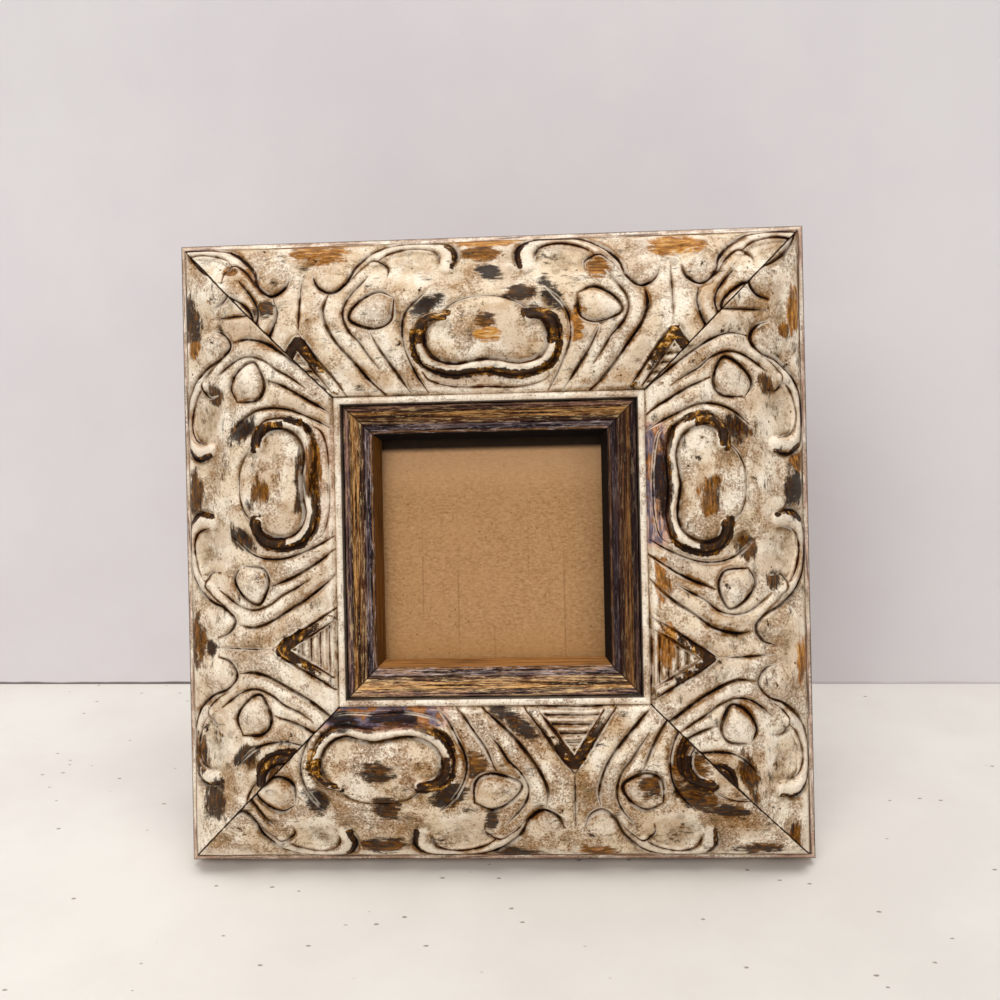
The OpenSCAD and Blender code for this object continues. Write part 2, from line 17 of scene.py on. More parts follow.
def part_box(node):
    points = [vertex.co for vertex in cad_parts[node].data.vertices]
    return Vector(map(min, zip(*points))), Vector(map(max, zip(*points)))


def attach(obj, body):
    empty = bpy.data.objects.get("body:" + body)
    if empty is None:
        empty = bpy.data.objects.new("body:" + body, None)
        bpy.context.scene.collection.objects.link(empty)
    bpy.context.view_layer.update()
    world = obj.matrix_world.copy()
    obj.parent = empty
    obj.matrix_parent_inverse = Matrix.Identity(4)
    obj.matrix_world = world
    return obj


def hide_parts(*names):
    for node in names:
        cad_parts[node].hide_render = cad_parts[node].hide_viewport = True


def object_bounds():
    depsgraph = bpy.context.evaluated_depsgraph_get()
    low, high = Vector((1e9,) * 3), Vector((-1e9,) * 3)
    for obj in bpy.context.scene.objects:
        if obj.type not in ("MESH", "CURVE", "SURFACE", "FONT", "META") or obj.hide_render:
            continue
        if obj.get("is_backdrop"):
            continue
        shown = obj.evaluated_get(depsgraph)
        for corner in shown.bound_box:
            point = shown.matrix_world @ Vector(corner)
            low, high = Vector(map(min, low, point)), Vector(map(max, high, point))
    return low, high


bl_info = {
    "name": "Baroque picture frame",
    "version": (1, 0, 0),
    "blender": (4, 5, 0),
    "location": "View3D > Sidebar > Picture frame",
    "description": "Moulded ornament, finishes and studio for a leaning picture frame",
    "category": "Object",
}

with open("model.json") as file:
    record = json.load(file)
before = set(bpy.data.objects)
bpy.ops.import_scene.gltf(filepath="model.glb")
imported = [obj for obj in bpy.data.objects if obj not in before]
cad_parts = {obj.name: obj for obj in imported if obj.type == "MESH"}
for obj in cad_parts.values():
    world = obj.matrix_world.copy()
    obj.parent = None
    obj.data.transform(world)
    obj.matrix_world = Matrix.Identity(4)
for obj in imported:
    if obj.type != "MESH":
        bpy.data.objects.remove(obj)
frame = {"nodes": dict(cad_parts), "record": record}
CAD_BOX = [list(corner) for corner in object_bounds()]
MM = 0.001
RAILS = ("top", "right", "bottom", "left")

# The frame leans back about the lower edge of its back, as the mount on its back says
BACK_FACE = next(m for m in frame["record"]["mounts"] if m["name"] == "back_face")
LEAN = math.acos(BACK_FACE["axis"][1])
EDGE_Y = BACK_FACE["pos_m"][1] - BACK_FACE["pos_m"][2] * math.tan(LEAN)
STAND = Matrix.Translation((0, EDGE_Y, 0)) @ Matrix.Rotation(-LEAN, 4, "X")
SIDE = (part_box("bottom_rail")[1].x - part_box("bottom_rail")[0].x) / MM
MIDDLE = SIDE / 2


def srgb(red, green, blue):
    """Colour from its 0 to 255 screen values, as the linear light that a shader takes."""
    parts = [c / 255 for c in (red, green, blue)]
    return tuple(c / 12.92 if c <= 0.04045 else ((c + 0.055) / 1.055) ** 2.4 for c in parts)


def rail_matrix(k):
    """Takes the bottom rail's own frame (x along, -y out of the face, z inwards) to rail k.

    The rails are counted clockwise from the top one.
    """
    centre = Matrix.Translation((0, 0, MIDDLE * MM))
    return STAND @ centre @ Matrix.Rotation(math.radians(180 + 90 * k), 4, "Y") @ centre.inverted()


# Section of the moulding, in millimetres: r inwards from the outer edge, height above the back
BORDER_W = 2.5
FIELD_W = 63.5
BEAD_W = 3.0
SLIP_W = 13.55
BORDER_H = 18.5
HEEL_H = 32.7
CROWN_H = 35.2
CROWN_R = BORDER_W + 0.66 * FIELD_W
FIELD_END = BORDER_W + FIELD_W
BEAD_END = FIELD_END + BEAD_W
MOULDING_W = BEAD_END + SLIP_W
# The ornament's ground, the limits of the relief from it, and the depth and width of its drop at a mitre
GROUND_T = 1.2
LOWEST_FORM = -0.6
HIGHEST_FORM = 5.0
MITRE_DROP = 0.5

# The ornament's drawing, in millimetres: u from the cartouche's axis, v inwards from the outer edge.
# It is mirrored at u = 0 and, about the ribbed triangle's axis, at u = 67.
HALF_REPEAT = 67.0
# How far the hand-laid lines wander from the drawing
WANDER = 0.55
# For each rail: places along the clockwise way from its middle, and the multiple of the half repeat there
ANCHORS = {
    "top": [(-143, -2), (-73.5, -1), (0.5, 0), (72.5, 1), (142, 2)],
    "right": [(-158, -2), (-91, -1), (-24, 0), (43, 1), (110, 2)],
    "bottom": [(-98, -2), (-31, -1), (46.5, 0), (112.5, 1), (180, 2)],
    "left": [(-104.5, -2), (-37.5, -1), (27, 0), (94, 1), (161, 2)],
}

# Grooves: points on the line, depth, and how far the strand beside it sinks towards it
SCROLL = [(12, 16), (11, 9), (15, 4.2), (25, 2.9), (36, 4.5), (43, 8.5), (48, 14), (51, 21),
          (56, 24.8), (61, 22), (63, 17)]
SCROLL_INNER = [(17, 14), (19, 8), (26, 5.8), (35, 8), (40, 12)]
SCROLL_END = [(12.5, 15.5), (11.8, 9), (15, 5)]
NUT = [(33, 28), (34, 37), (40, 39.7), (48.5, 35.8), (46, 29.5), (39, 25), (33, 28)]
RIM_INNER = [(15, 37.5), (19.5, 38.5), (22, 42), (22, 47.5), (18.5, 52.5), (12, 54.8), (5, 54), (0, 53.5),
             (-5, 54)]
RIM_OUTER = [(14, 34.5), (21, 35.5), (25.5, 40), (26, 48), (22, 55.5), (13, 59), (5, 58.4), (0, 58),
             (-5, 58.4)]
RIM_MIDDLE = [(15.5, 36.5), (20.5, 37), (24, 41), (24, 48), (20, 54), (12, 57), (5, 56.2), (0, 55.8),
              (-5, 56.2)]
RIM_CURL = [(15.5, 36.5), (20.5, 37), (23.5, 41), (23.6, 46)]
CHEVRON_OUTER = [(67, 40.5), (60, 51), (50, 66)]
CHEVRON_INNER = [(67, 47.5), (62, 54.5), (55.5, 64.5)]
CHEVRON_MIDDLE = [(67, 44), (61, 52.5), (52.7, 65)]
GROOVES = [
    (SCROLL, 1.2, 0.8),
    (SCROLL_INNER, 0.6, 0.6),
    (NUT, 1.0, 0.85),
    (RIM_INNER, 1.2, 0.5),
    (RIM_OUTER, 0.6, 0.7),
    ([(23, 57.5), (20, 61), (12, 63.3), (0, 63.6), (-12, 63.3)], 0.3, 0.5),
    ([(21, 24.5), (27, 31), (30, 38), (30, 47), (26, 57), (21, 65.5)], 0.6, 0.85),
    ([(41, 41), (37, 50), (31, 60), (27, 65.5)], 0.9, 0.85),
    ([(43, 18), (49, 26), (51, 33), (49, 40), (45, 45), (42, 50), (38, 56)], 0.6, 0.75),
    ([(57, 26), (58, 33), (55, 42), (48, 52), (40, 62), (36.5, 65.5)], 1.0, 0.95),
    ([(36, 19), (36, 14), (41, 11.5), (46, 15), (50, 21)], 0.5, 0.6),
    ([(17, 36), (12, 31), (6, 28.5), (0, 28), (-6, 28.5)], 0.2, 0.5),
    (CHEVRON_OUTER, 0.8, 0.8),
    (CHEVRON_INNER, 0.9, 0.5),
    ([(67, 17), (67, 40)], 0.4, 0.7),
]
# How far to each side a groove draws the strands down
STRAND_REACH = 3.6
# The triangle's sunk panel: where its slanting edge leaves the axis and how fast, its depth, and its ribs
PANEL_START = 47.5
PANEL_SLOPE = 0.68
PANEL_DEPTH = 1.1
RIBS = (50.5, 54.0, 57.5, 61.0, 64.0)
RIB_H = 1.3
# Rolls: points on the middle line, half width and height
ROLLS = [
    ([(14.5, 15), (14, 9.5), (17, 6), (25, 4.4), (35, 6.3), (41, 10.5)], 3.4, 2.0),
    ([(41, 10.5), (47, 16), (50, 22)], 3.6, 1.1),
    (RIM_MIDDLE, 2.7, 2.3),
    (CHEVRON_MIDDLE, 3.2, 1.5),
]
# Swellings and hollows: u, v, half length, half width, turn in degrees, height
FORMS = [
    (0, 43, 23, 16, 0, 1.5),
    (40.8, 32.5, 9.5, 8, 20, 1.8),
    (56.5, 13.5, 8.5, 13, 0, 1.9),
    (0, 6.5, 15, 7, 0, 1.8),
    (67, 6.0, 16, 6.5, 0, 1.8),
    (27, 13.5, 13, 9, 10, -2.0),
    (22, 31, 8, 4.5, 45, -2.2),
    (16, 25, 26, 6, -18, 0.8),
    (15.5, 37, 4, 3.6, 0, 0.9),
    (67, 30, 8, 12, 0, 0.5),
    (8, 62, 26, 4, 0, -0.6),
]
# Stains of each rail: place along the clockwise way, v, half length, half width, turn in degrees, and warmth
# from blue-black to gold
STAINS = {
    "top": [
        (-67, 7, 15, 6, 0, 0.8), (0, 4, 18, 3.4, 0, 0.95), (-1, 9.5, 13, 4, 0, 0.6), (2, 18, 8, 5, 20, 0.0),
        (75, 8, 14, 6, 0, 0.95), (-23, 31, 9, 5, -25, 0.0), (25.5, 27, 10, 4.5, 65, 0.0),
        (1, 43.5, 6, 4, 0, 1.1), (0, 38, 5, 4, 0, 0.4), (14, 27, 8, 4, -8, 0.25), (-88, 31, 6, 5, 0, 0.3),
        (44, 17, 6, 6, 30, 0.7), (35, 42, 4, 10, 15, 0.8), (-103, 13, 5, 3, 0, 0.7)],
    "right": [
        (-93, 6, 14, 4, 0, 0.85), (-84, 11, 4, 3, 0, 0.6), (-21, 8.5, 13, 6, 0, 0.0),
        (-33, 6, 7, 4, 0, 0.6), (45, 5.5, 13, 3.5, 0, 0.85), (-62, 19, 7, 4.5, -35, 0.4),
        (-45, 31, 9, 5.5, -30, 0.2), (1, 28, 6, 6, 45, 0.35), (-20, 42, 10, 7, 10, 0.6),
        (14, 17, 5, 4, 0, 0.35), (88, 29, 13, 5, -12, 0.35), (115, 10, 8, 4, 0, 0.5),
        (-27, 60, 20, 4.5, 0, 0.05), (14, 61, 12, 4, 0, 0.85), (38, 60, 12, 5, 0, 0.85)],
    "bottom": [
        (-103, 7, 12, 4, 0, 0.3), (-40, 6, 10, 4, 0, 0.65), (-8, 5, 13, 4, 0, 0.2), (45, 9, 12, 5, 0, 0.3),
        (43, 27, 7, 7, 0, 0.3), (45, 41, 8, 6, 0, 0.25), (2, 21, 4, 7, 20, 0.15),
        (18, 31, 12, 5.5, -30, 0.2), (71, 29, 9, 5.5, 45, 0.0), (-77, 31, 12, 7, 30, 0.35),
        (-60, 36, 8, 8, 0, 0.45), (-92, 24, 9, 4, 10, 0.25), (59, 61, 9, 5, 0, 0.0),
        (40, 62, 15, 4, 0, 0.1), (-8, 60, 14, 5, 35, 0.1), (8, 44, 8, 7, 30, 0.45),
        (-75, 44, 12, 9, 40, 0.5)],
    "left": [
        (-98, 13, 12, 7, 10, 0.2), (-36, 7, 15, 6, 0, 0.45), (-38, 13, 4, 3.5, 0, 0.2),
        (26, 6, 12, 6, 0, 0.35), (96, 6, 16, 6.5, -8, 0.2), (83, 8, 5, 4, 0, 0.8),
        (-79, 29, 8, 4.5, 60, 0.25), (-86, 38, 7, 5, 40, 0.4), (5, 29, 8, 4.5, -45, 0.2),
        (25, 37, 7, 5, 0, 0.5), (49, 30, 9, 5, 38, 0.1), (64, 17, 5, 6, 45, 0.3),
        (27, 53, 15, 3.5, 0, 0.25), (34, 58.5, 16, 4, 0, 0.6), (-80, 6, 12, 5, 0, 0.4)],
}


def through(points, steps=6):
    """Smooth line through the points.

    Each span is the cubic whose slopes at its ends are half the step between the neighbours on both sides.
    """
    p = np.array(points, float)
    ends = np.vstack([2 * p[0] - p[1], p, 2 * p[-1] - p[-2]])
    t = np.linspace(0, 1, steps, endpoint=False)[:, None]
    spans = []
    for a, b, c, d in zip(ends[:-3], ends[1:-2], ends[2:-1], ends[3:]):
        spans.append(b + 0.5 * t * (c - a + t * (2 * a - 5 * b + 4 * c - d + t * (3 * (b - c) + d - a))))
    return np.vstack(spans + [p[-1:]])


def nearest_on(u, v, points):
    """Distance of each (u, v) to the smooth line through the points, and the way on to the line's nearer end.

    The distance is the least one to the line's short straight pieces, for places that lie near enough.
    """
    line = through(points)
    steps = np.hypot(*np.diff(line, axis=0).T)
    starts = np.concatenate([[0], np.cumsum(steps)])
    low, high = line.min(0) - 2 * STRAND_REACH, line.max(0) + 2 * STRAND_REACH
    near = (u > low[0]) & (u < high[0]) & (v > low[1]) & (v < high[1])
    pu, pv = u[near], v[near]
    least = np.full(pu.shape, 1e4)
    along = np.zeros(pu.shape)
    for (au, av), (bu, bv), start, step in zip(line[:-1], line[1:], starts, steps):
        du, dv = bu - au, bv - av
        share = np.clip(((pu - au) * du + (pv - av) * dv) / (step * step + 1e-9), 0, 1)
        square = (pu - au - share * du) ** 2 + (pv - av - share * dv) ** 2
        closer = square < least
        least = np.where(closer, square, least)
        along = np.where(closer, start + share * step, along)
    away, end = np.full(u.shape, 99.0), np.zeros(u.shape)
    away[near] = np.sqrt(least)
    end[near] = np.minimum(along, starts[-1] - along)
    return away, end


def swelling(u, v, cu, cv, ru, rv, turn):
    """Smooth hill, 1 in its middle and 0 on its ellipse.

    It is the square of one less the squared share of the radius.
    """
    c, s = math.cos(math.radians(turn)), math.sin(math.radians(turn))
    du, dv = u - cu, v - cv
    share = ((du * c + dv * s) / ru) ** 2 + ((dv * c - du * s) / rv) ** 2
    return np.clip(1 - share, 0, 1) ** 2


def fade(value, low, high):
    """Smooth step from 0 at low to 1 at high."""
    t = np.clip((value - low) / (high - low), 0, 1)
    return t * t * (3 - 2 * t)


def unevenness(x, y, size, seed):
    """Smooth noise from -1 to 1: random numbers on a square lattice of this size, blended by smooth steps."""
    count = 64
    lattice = np.random.default_rng(seed).uniform(-1, 1, (count, count))
    gx, gy = x / size + 20, y / size + 20
    ix, iy = np.floor(gx).astype(int), np.floor(gy).astype(int)
    fx, fy = fade(gx - ix, 0, 1), fade(gy - iy, 0, 1)
    corner = lambda a, b: lattice[(ix + a) % count, (iy + b) % count]
    low = corner(0, 0) * (1 - fx) + corner(1, 0) * fx
    high = corner(0, 1) * (1 - fx) + corner(1, 1) * fx
    return low * (1 - fy) + high * fy


def drawn_place(x, r, rail):
    """Place in the drawing of a point on a rail.

    Its x is folded at every half repeat between the rail's anchors, and both its places wander by a little.
    """
    along = -x
    places, multiples = zip(*ANCHORS[rail])
    seed = RAILS.index(rail) * 10
    count = np.interp(along, places, multiples)
    u = HALF_REPEAT * np.abs(count - 2 * np.round(count / 2))
    wander = WANDER * fade(u, 0, 5) * fade(HALF_REPEAT - u, 0, 5)
    return u + wander * unevenness(along, r, 11, seed), r + WANDER * unevenness(along, r, 12, seed + 1)


def relief(u, v, sizes):
    """Height of the moulding above its ground, in millimetres, and its painted lines and fields.

    The height is the strands' height, drawn down beside each groove by a parabola, plus rolls with a round
    section along their lines and smooth hills and hollows, less a narrow bell along each groove. Grooves and
    their painted lines taper off towards their ends.
    """
    strands = np.ones(u.shape)
    cut = np.zeros(u.shape)
    line = np.full(u.shape, 9.0)
    for points, depth, sink in GROOVES:
        away, end = nearest_on(u, v, points)
        full = fade(end, -2, 8)
        strands *= 1 - sink * full * np.clip(1 - away / STRAND_REACH, 0, 1) ** 2
        cut = np.maximum(cut, depth * full * np.exp(-((away / 0.5) ** 2)))
        line = np.minimum(line, away / ((0.22 + 0.42 * depth) * (0.3 + 0.7 * full)))
    height = sizes.strand_h / MM * strands
    for points, half, rise in ROLLS:
        height += rise * np.clip(1 - (nearest_on(u, v, points)[0] / half) ** 2, 0, 1) ** 0.75
    for cu, cv, ru, rv, turn, rise in FORMS:
        height += rise * swelling(u, v, cu, cv, ru, rv, turn)
    inner_edge = HALF_REPEAT - (v - PANEL_START) * PANEL_SLOPE
    panel = fade(u - inner_edge, 0.2, 1.2) * fade(v, 47, 49.5)
    height -= PANEL_DEPTH * panel
    for rib in RIBS:
        height += RIB_H * panel * np.exp(-(((v - rib) / 0.8) ** 2))
        line = np.minimum(line, np.where(panel > 0.5, np.abs(v - rib - 1.7) / 0.4, 9.0))
    height -= cut * sizes.groove_depth / MM
    near = lambda points, inner, outer: 1 - fade(nearest_on(u, v, points)[0], inner, outer)
    dark = np.maximum.reduce([
        near(RIM_CURL, 0.8, 2.4), 0.7 * near(RIM_OUTER, 0.9, 2.4),
        near(CHEVRON_MIDDLE, 0.9, 2.9) * (0.9 - 0.5 * fade(v, 49, 62)),
        0.85 * near(SCROLL_END, 0.3, 1.9)])
    clean = fade(swelling(u, v, 27, 15, 17, 11, 8), 0.0, 0.5)
    band = fade(v, 55.5, 60) * np.maximum(fade(27 - u, 0, 5), 0.35)
    return height, {"line": line, "dark": dark, "clean": clean, "band": band}


def stains(along, r, rail):
    """Strength of a rail's stains at each point, and the warmth of the strongest one there."""
    strength, warmth = np.zeros(along.shape), np.zeros(along.shape)
    for place, v, length, width, turn, warm in STAINS[rail]:
        own = swelling(along, r, place, v, length, width, turn)
        warmth = np.where(own > strength, warm, warmth)
        strength = np.maximum(strength, own)
    return np.sqrt(strength), warmth


def dome(r):
    """Height of the wood under the ornament above the back: a quarter wave up to the crown, and one down."""
    rising = BORDER_H + (CROWN_H - BORDER_H) * np.sin(np.pi / 2 * (r - BORDER_W) / (CROWN_R - BORDER_W))
    share = np.clip((r - CROWN_R) / (FIELD_END - CROWN_R), 0, 1)
    falling = CROWN_H - (CROWN_H - HEEL_H) * (1 - np.cos(np.pi / 2 * share))
    return np.where(r < CROWN_R, rising, falling)


def ornament_mesh(name, rail, sizes, rows=204, columns=470):
    """Closed skin of one rail's ornament.

    Its top is a grid of rows inwards by columns from mitre to mitre. The height is the dome plus the ground
    plus the relief, which dies out at both edges. The underside follows the dome, with corners only in the
    mitres.
    """
    v = np.linspace(0, 1, rows + 1)
    t = np.linspace(-1, 1, columns + 1)
    # The outermost columns are narrower, for the drop at the mitres
    t[1], t[-2] = -0.9965, 0.9965
    r = (BORDER_W + FIELD_W * v)[:, None] + 0 * t[None, :]
    x = t[None, :] * (MIDDLE - r)
    drawn_u, drawn_v = drawn_place(x, r, rail)
    height, paint = relief(drawn_u, drawn_v, sizes)
    height += sizes.unevenness / MM * unevenness(x, r, 7, RAILS.index(rail) + 50)
    edges = fade(r - BORDER_W, 0, 2.2) * fade(FIELD_END - r, 0, 2.0)
    height = GROUND_T + np.clip(height, LOWEST_FORM, HIGHEST_FORM) * edges
    to_mitre = (MIDDLE - r - np.abs(x)) / math.sqrt(2)
    height -= MITRE_DROP * (1 - fade(to_mitre, 0, MITRE_DROP))
    k = RAILS.index(rail)
    own = np.array(rail_matrix(k))
    top = np.stack([x, -(dome(r) + height), r], -1).reshape(-1, 3)
    edge_r = BORDER_W + FIELD_W * v
    ends = np.stack([edge_r - MIDDLE, -dome(edge_r), edge_r], -1)
    under = np.stack([ends, ends * [-1, 1, 1]], 1).reshape(-1, 3)
    points = np.vstack([top, under]) * MM
    points = points @ own[:3, :3].T + own[:3, 3]
    mesh = bpy.data.meshes.new(name)
    mesh.from_pydata(points.tolist(), [], skin_faces(rows, columns).tolist())
    mesh.polygons.foreach_set("use_smooth", np.arange(len(mesh.polygons)) < 2 * rows * columns)
    # How low a point lies: the mean of a near and a wide average round it, less its own height, times 1.2
    low = 0.6 * (soft_average(height, 6, 4) + soft_average(height, 18, 12)) - 1.2 * height
    strength, warmth = stains(-x, r, rail)
    paint.update({"low": low, "mitre": to_mitre, "stain": strength, "warmth": warmth})
    for key, values in paint.items():
        layer = mesh.attributes.new(key, "FLOAT", "POINT")
        flat = np.concatenate([values.ravel(), np.zeros(len(under))])
        layer.data.foreach_set("value", flat.astype(np.float32))
    mesh.validate()
    mesh.update()
    return mesh


def soft_average(values, rows, columns):
    """Mean over a window of this many cells to each side, by running sums, with the edges repeated."""
    padded = np.pad(values, ((rows, rows), (columns, columns)), mode="edge").cumsum(0).cumsum(1)
    padded = np.pad(padded, ((1, 0), (1, 0)))
    h, w = 2 * rows + 1, 2 * columns + 1
    return (padded[h:, w:] - padded[:-h, w:] - padded[h:, :-w] + padded[:-h, :-w]) / (h * w)


def skin_faces(rows, columns):
    """Triangles of a grid with a two-point underside per row: grid, underside, both long edges, both ends."""
    m = columns
    i, j = np.meshgrid(np.arange(rows), np.arange(m), indexing="ij")
    a = (i * (m + 1) + j).ravel()
    base = (rows + 1) * (m + 1)
    last = rows * (m + 1)
    row = np.arange(rows)
    b = base + 2 * row
    column = np.arange(m)
    second_half = (column >= m // 2).astype(int)
    left = row * (m + 1)
    right = left + m
    middle = m // 2
    parts = [
        (a, a + m + 2, a + 1),
        (a, a + m + 1, a + m + 2),
        (b, b + 1, b + 3),
        (b, b + 3, b + 2),
        (column, column + 1, base + second_half),
        (last + column + 1, last + column, base + 2 * rows + second_half),
        ([middle], [base + 1], [base]),
        ([last + middle], [base + 2 * rows], [base + 2 * rows + 1]),
        (left + m + 1, left, b),
        (left + m + 1, b, b + 2),
        (right, right + m + 1, b + 3),
        (right, b + 3, b + 1),
    ]
    return np.vstack([np.stack([np.asarray(c) for c in part], 1) for part in parts])


class Socket:
    """A shader socket that takes part in sums and products: each operator adds one Math node."""

    def __init__(self, finish, output):
        self.finish = finish
        self.output = output

    def _math(self, operation, first, second):
        """Adds the Math node of one operation."""
        return self.finish.node("ShaderNodeMath", {"operation": operation}, {0: first, 1: second})

    def __add__(self, other):
        return self._math("ADD", self, other)

    def __sub__(self, other):
        return self._math("SUBTRACT", self, other)

    def __rsub__(self, other):
        return self._math("SUBTRACT", other, self)

    def __mul__(self, other):
        return self._math("MULTIPLY", self, other)

    def __truediv__(self, other):
        return self._math("DIVIDE", self, other)

    __radd__ = __add__
    __rmul__ = __mul__


class Finish:
    """A material's node tree: node() adds any node, and the other methods are the patterns used here."""

    def __init__(self, name):
        self.material = bpy.data.materials.new(name)
        self.material.use_nodes = True
        self.tree = self.material.node_tree
        self.tree.nodes.clear()
        self.output = self.tree.nodes.new("ShaderNodeOutputMaterial")

    def node(self, kind, settings=None, values=None, out=0):
        """Adds a node of a kind: its settings first, then its sockets' values or links. Gives one output."""
        made = self.tree.nodes.new(kind)
        for key, value in (settings or {}).items():
            if key == "stops":
                self._stops(made.color_ramp, value)
            else:
                setattr(made, key, value)
        for key, value in (values or {}).items():
            target = made.inputs[key]
            if isinstance(value, Socket):
                self.tree.links.new(value.output, target)
            elif value is not None:
                target.default_value = (*value, 1) if target.type == "RGBA" and len(value) == 3 else value
        return Socket(self, made.outputs[out])

    @staticmethod
    def _stops(ramp, stops):
        """Sets the stops of a colour ramp, which starts with two."""
        while len(ramp.elements) < len(stops):
            ramp.elements.new(0.5)
        for element, (place, colour) in zip(ramp.elements, stops):
            element.position = place
            element.color = (*colour, 1)

    def place(self, k=None, scale=(1, 1, 1)):
        """Object coordinates in metres, or those in the own frame of rail k, stretched by a scale."""
        place = self.node("ShaderNodeTexCoord", out="Object")
        if k is not None:
            back = rail_matrix(k).inverted()
            place = self.node("ShaderNodeMapping", {}, {
                "Vector": place, "Location": back.to_translation(), "Rotation": back.to_euler("XYZ")})
        if scale != (1, 1, 1):
            place = self.node("ShaderNodeVectorMath", {"operation": "MULTIPLY"}, {0: place, 1: scale})
        return place

    def part(self, vector, axis):
        """One component of a vector."""
        return self.node("ShaderNodeSeparateXYZ", {}, {0: vector}, out=axis)

    def noise(self, place, scale, detail=3, rough=0.55, warp=0.0):
        """Cloudy pattern from 0 to 1."""
        return self.node("ShaderNodeTexNoise", {}, {
            "Vector": place, "Scale": scale, "Detail": detail, "Roughness": rough, "Distortion": warp})

    def cells(self, place, scale, out="Distance"):
        """Cells with one point each: the distance to it, or the cell's random colour."""
        return self.node("ShaderNodeTexVoronoi", {}, {"Vector": place, "Scale": scale}, out=out)

    def attribute(self, name):
        """A number that the mesh carries at its points."""
        return self.node("ShaderNodeAttribute", {"attribute_name": name}, out="Fac")

    def step(self, value, low, high, start=0.0, end=1.0):
        """Smooth step of a value, from start at low to end at high."""
        return self.node("ShaderNodeMapRange", {"interpolation_type": "SMOOTHSTEP"}, {
            "Value": value, "From Min": low, "From Max": high, "To Min": start, "To Max": end})

    def ramp(self, value, stops):
        """Colours along a value from 0 to 1."""
        return self.node("ShaderNodeValToRGB", {"stops": stops}, {0: value})

    def mix(self, share, first, second, blend="MIX"):
        """Mixture of two colours."""
        return self.node("ShaderNodeMix", {"data_type": "RGBA", "blend_type": blend}, {
            0: share, 6: first, 7: second}, out=2)

    def bump(self, height, distance, strength, normal=None):
        """Small relief of the surface, distance in metres for a height of one, on top of a normal."""
        return self.node("ShaderNodeBump", {}, {
            "Height": height, "Distance": distance, "Strength": strength, "Normal": normal})

    def surface(self, **values):
        """Joins a Principled shader to the output. Underscores stand for the spaces in its sockets' names."""
        shader = self.node("ShaderNodeBsdfPrincipled", {}, {
            key.replace("_", " "): value for key, value in values.items()})
        self.tree.links.new(shader.output, self.output.inputs["Surface"])
        return self.material


# Width of the painted shadow along the top of the board in the opening, in millimetres
SHADE_W = 5.3
# Distance between the lines that show over the board's flutes, in millimetres
FLUTE_LINES = 14.4
# Paints of the frame, as they look on a screen
CREAM_LIGHT = srgb(254, 241, 220)
CREAM = srgb(222, 199, 171)
OLIVE = srgb(146, 125, 97)
BROWN = srgb(94, 59, 30)
DARK = srgb(34, 16, 5)
BLUE_BLACK = srgb(28, 24, 27)
GOLD = srgb(206, 150, 66)
ORANGE = srgb(176, 122, 80)
PINK = srgb(210, 164, 144)
TAN = srgb(144, 107, 71)
# How each rail's wash was laid: speckle, grime and painted shade, warm tint of the inner band, yellowed
# varnish
RAIL_LOOKS = {
    "top": (0.20, 0.40, 0.10, 0.30),
    "right": (0.35, 0.55, 0.80, 0.15),
    "bottom": (0.60, 0.52, 0.95, 0.32),
    "left": (0.25, 0.32, 0.25, 0.10),
}


def rub_colours(f, place, warmth):
    """Colours under the rubbed wash, in streaks: blue-black where it is cold, orange and gold where warm."""
    streak = f.noise(place, 850, 6, 0.7)
    return f.ramp(streak + warmth * 0.36 - 0.30, [
        (0.14, BLUE_BLACK), (0.28, DARK), (0.38, BROWN), (0.47, srgb(132, 92, 54)), (0.54, ORANGE),
        (0.62, GOLD), (0.74, CREAM)])


def wash(f, k, colours, speckle, grime_and_shade, clean):
    """Cream whitewash over brown on rail k, as its colour and the fine pattern of its speckles.

    It is cloudy, with brown showing through in speckles where it is thin, fly specks and a few olive spots.
    Clean is above zero where the wash is whole and below it where it is worn.
    """
    place = f.place(k)
    tone = f.noise(place, 60, 6, 0.62)
    colour = f.mix(f.step(tone, 0.40, 0.58), colours.cream, colours.cream_light)
    thin = f.step(f.noise(place, 75, 6, 0.7, 0.5) + 0.10 * speckle - 0.13 * clean, 0.46, 0.62)
    speckles = f.noise(place, 1150, 5, 0.8)
    showing = f.step(speckles + thin * 0.15, 0.54, 0.62)
    colour = f.mix(showing * (0.5 + 0.3 * speckle), colour, colours.tan)
    veil = f.step(f.noise(place, 130, 6, 0.7, 0.6) + 0.06 * grime_and_shade - 0.06 * clean, 0.56, 0.72)
    colour = f.mix(veil * (0.4 + 0.4 * grime_and_shade), colour, colours.olive)
    flecks = f.step(speckles + thin * 0.11, 0.635, 0.69)
    colour = f.mix(flecks * (0.55 + 0.4 * speckle), colour, colours.brown)
    spot = f.step(f.cells(place, 110) + (f.noise(place, 300) - 0.5) * 0.2, 0.18, 0.24, 1, 0)
    chosen = f.step(f.part(f.cells(place, 110, "Color"), 0), 0.84, 0.86)
    colour = f.mix(spot * chosen * 0.45, colour, colours.olive)
    dot = f.step(f.cells(place, 300), 0.10, 0.19, 1, 0)
    picked = f.step(f.part(f.cells(place, 300, "Color"), 1), 0.80 - 0.15 * speckle, 0.82)
    return f.mix(dot * picked * 0.85, colour, colours.brown), speckles


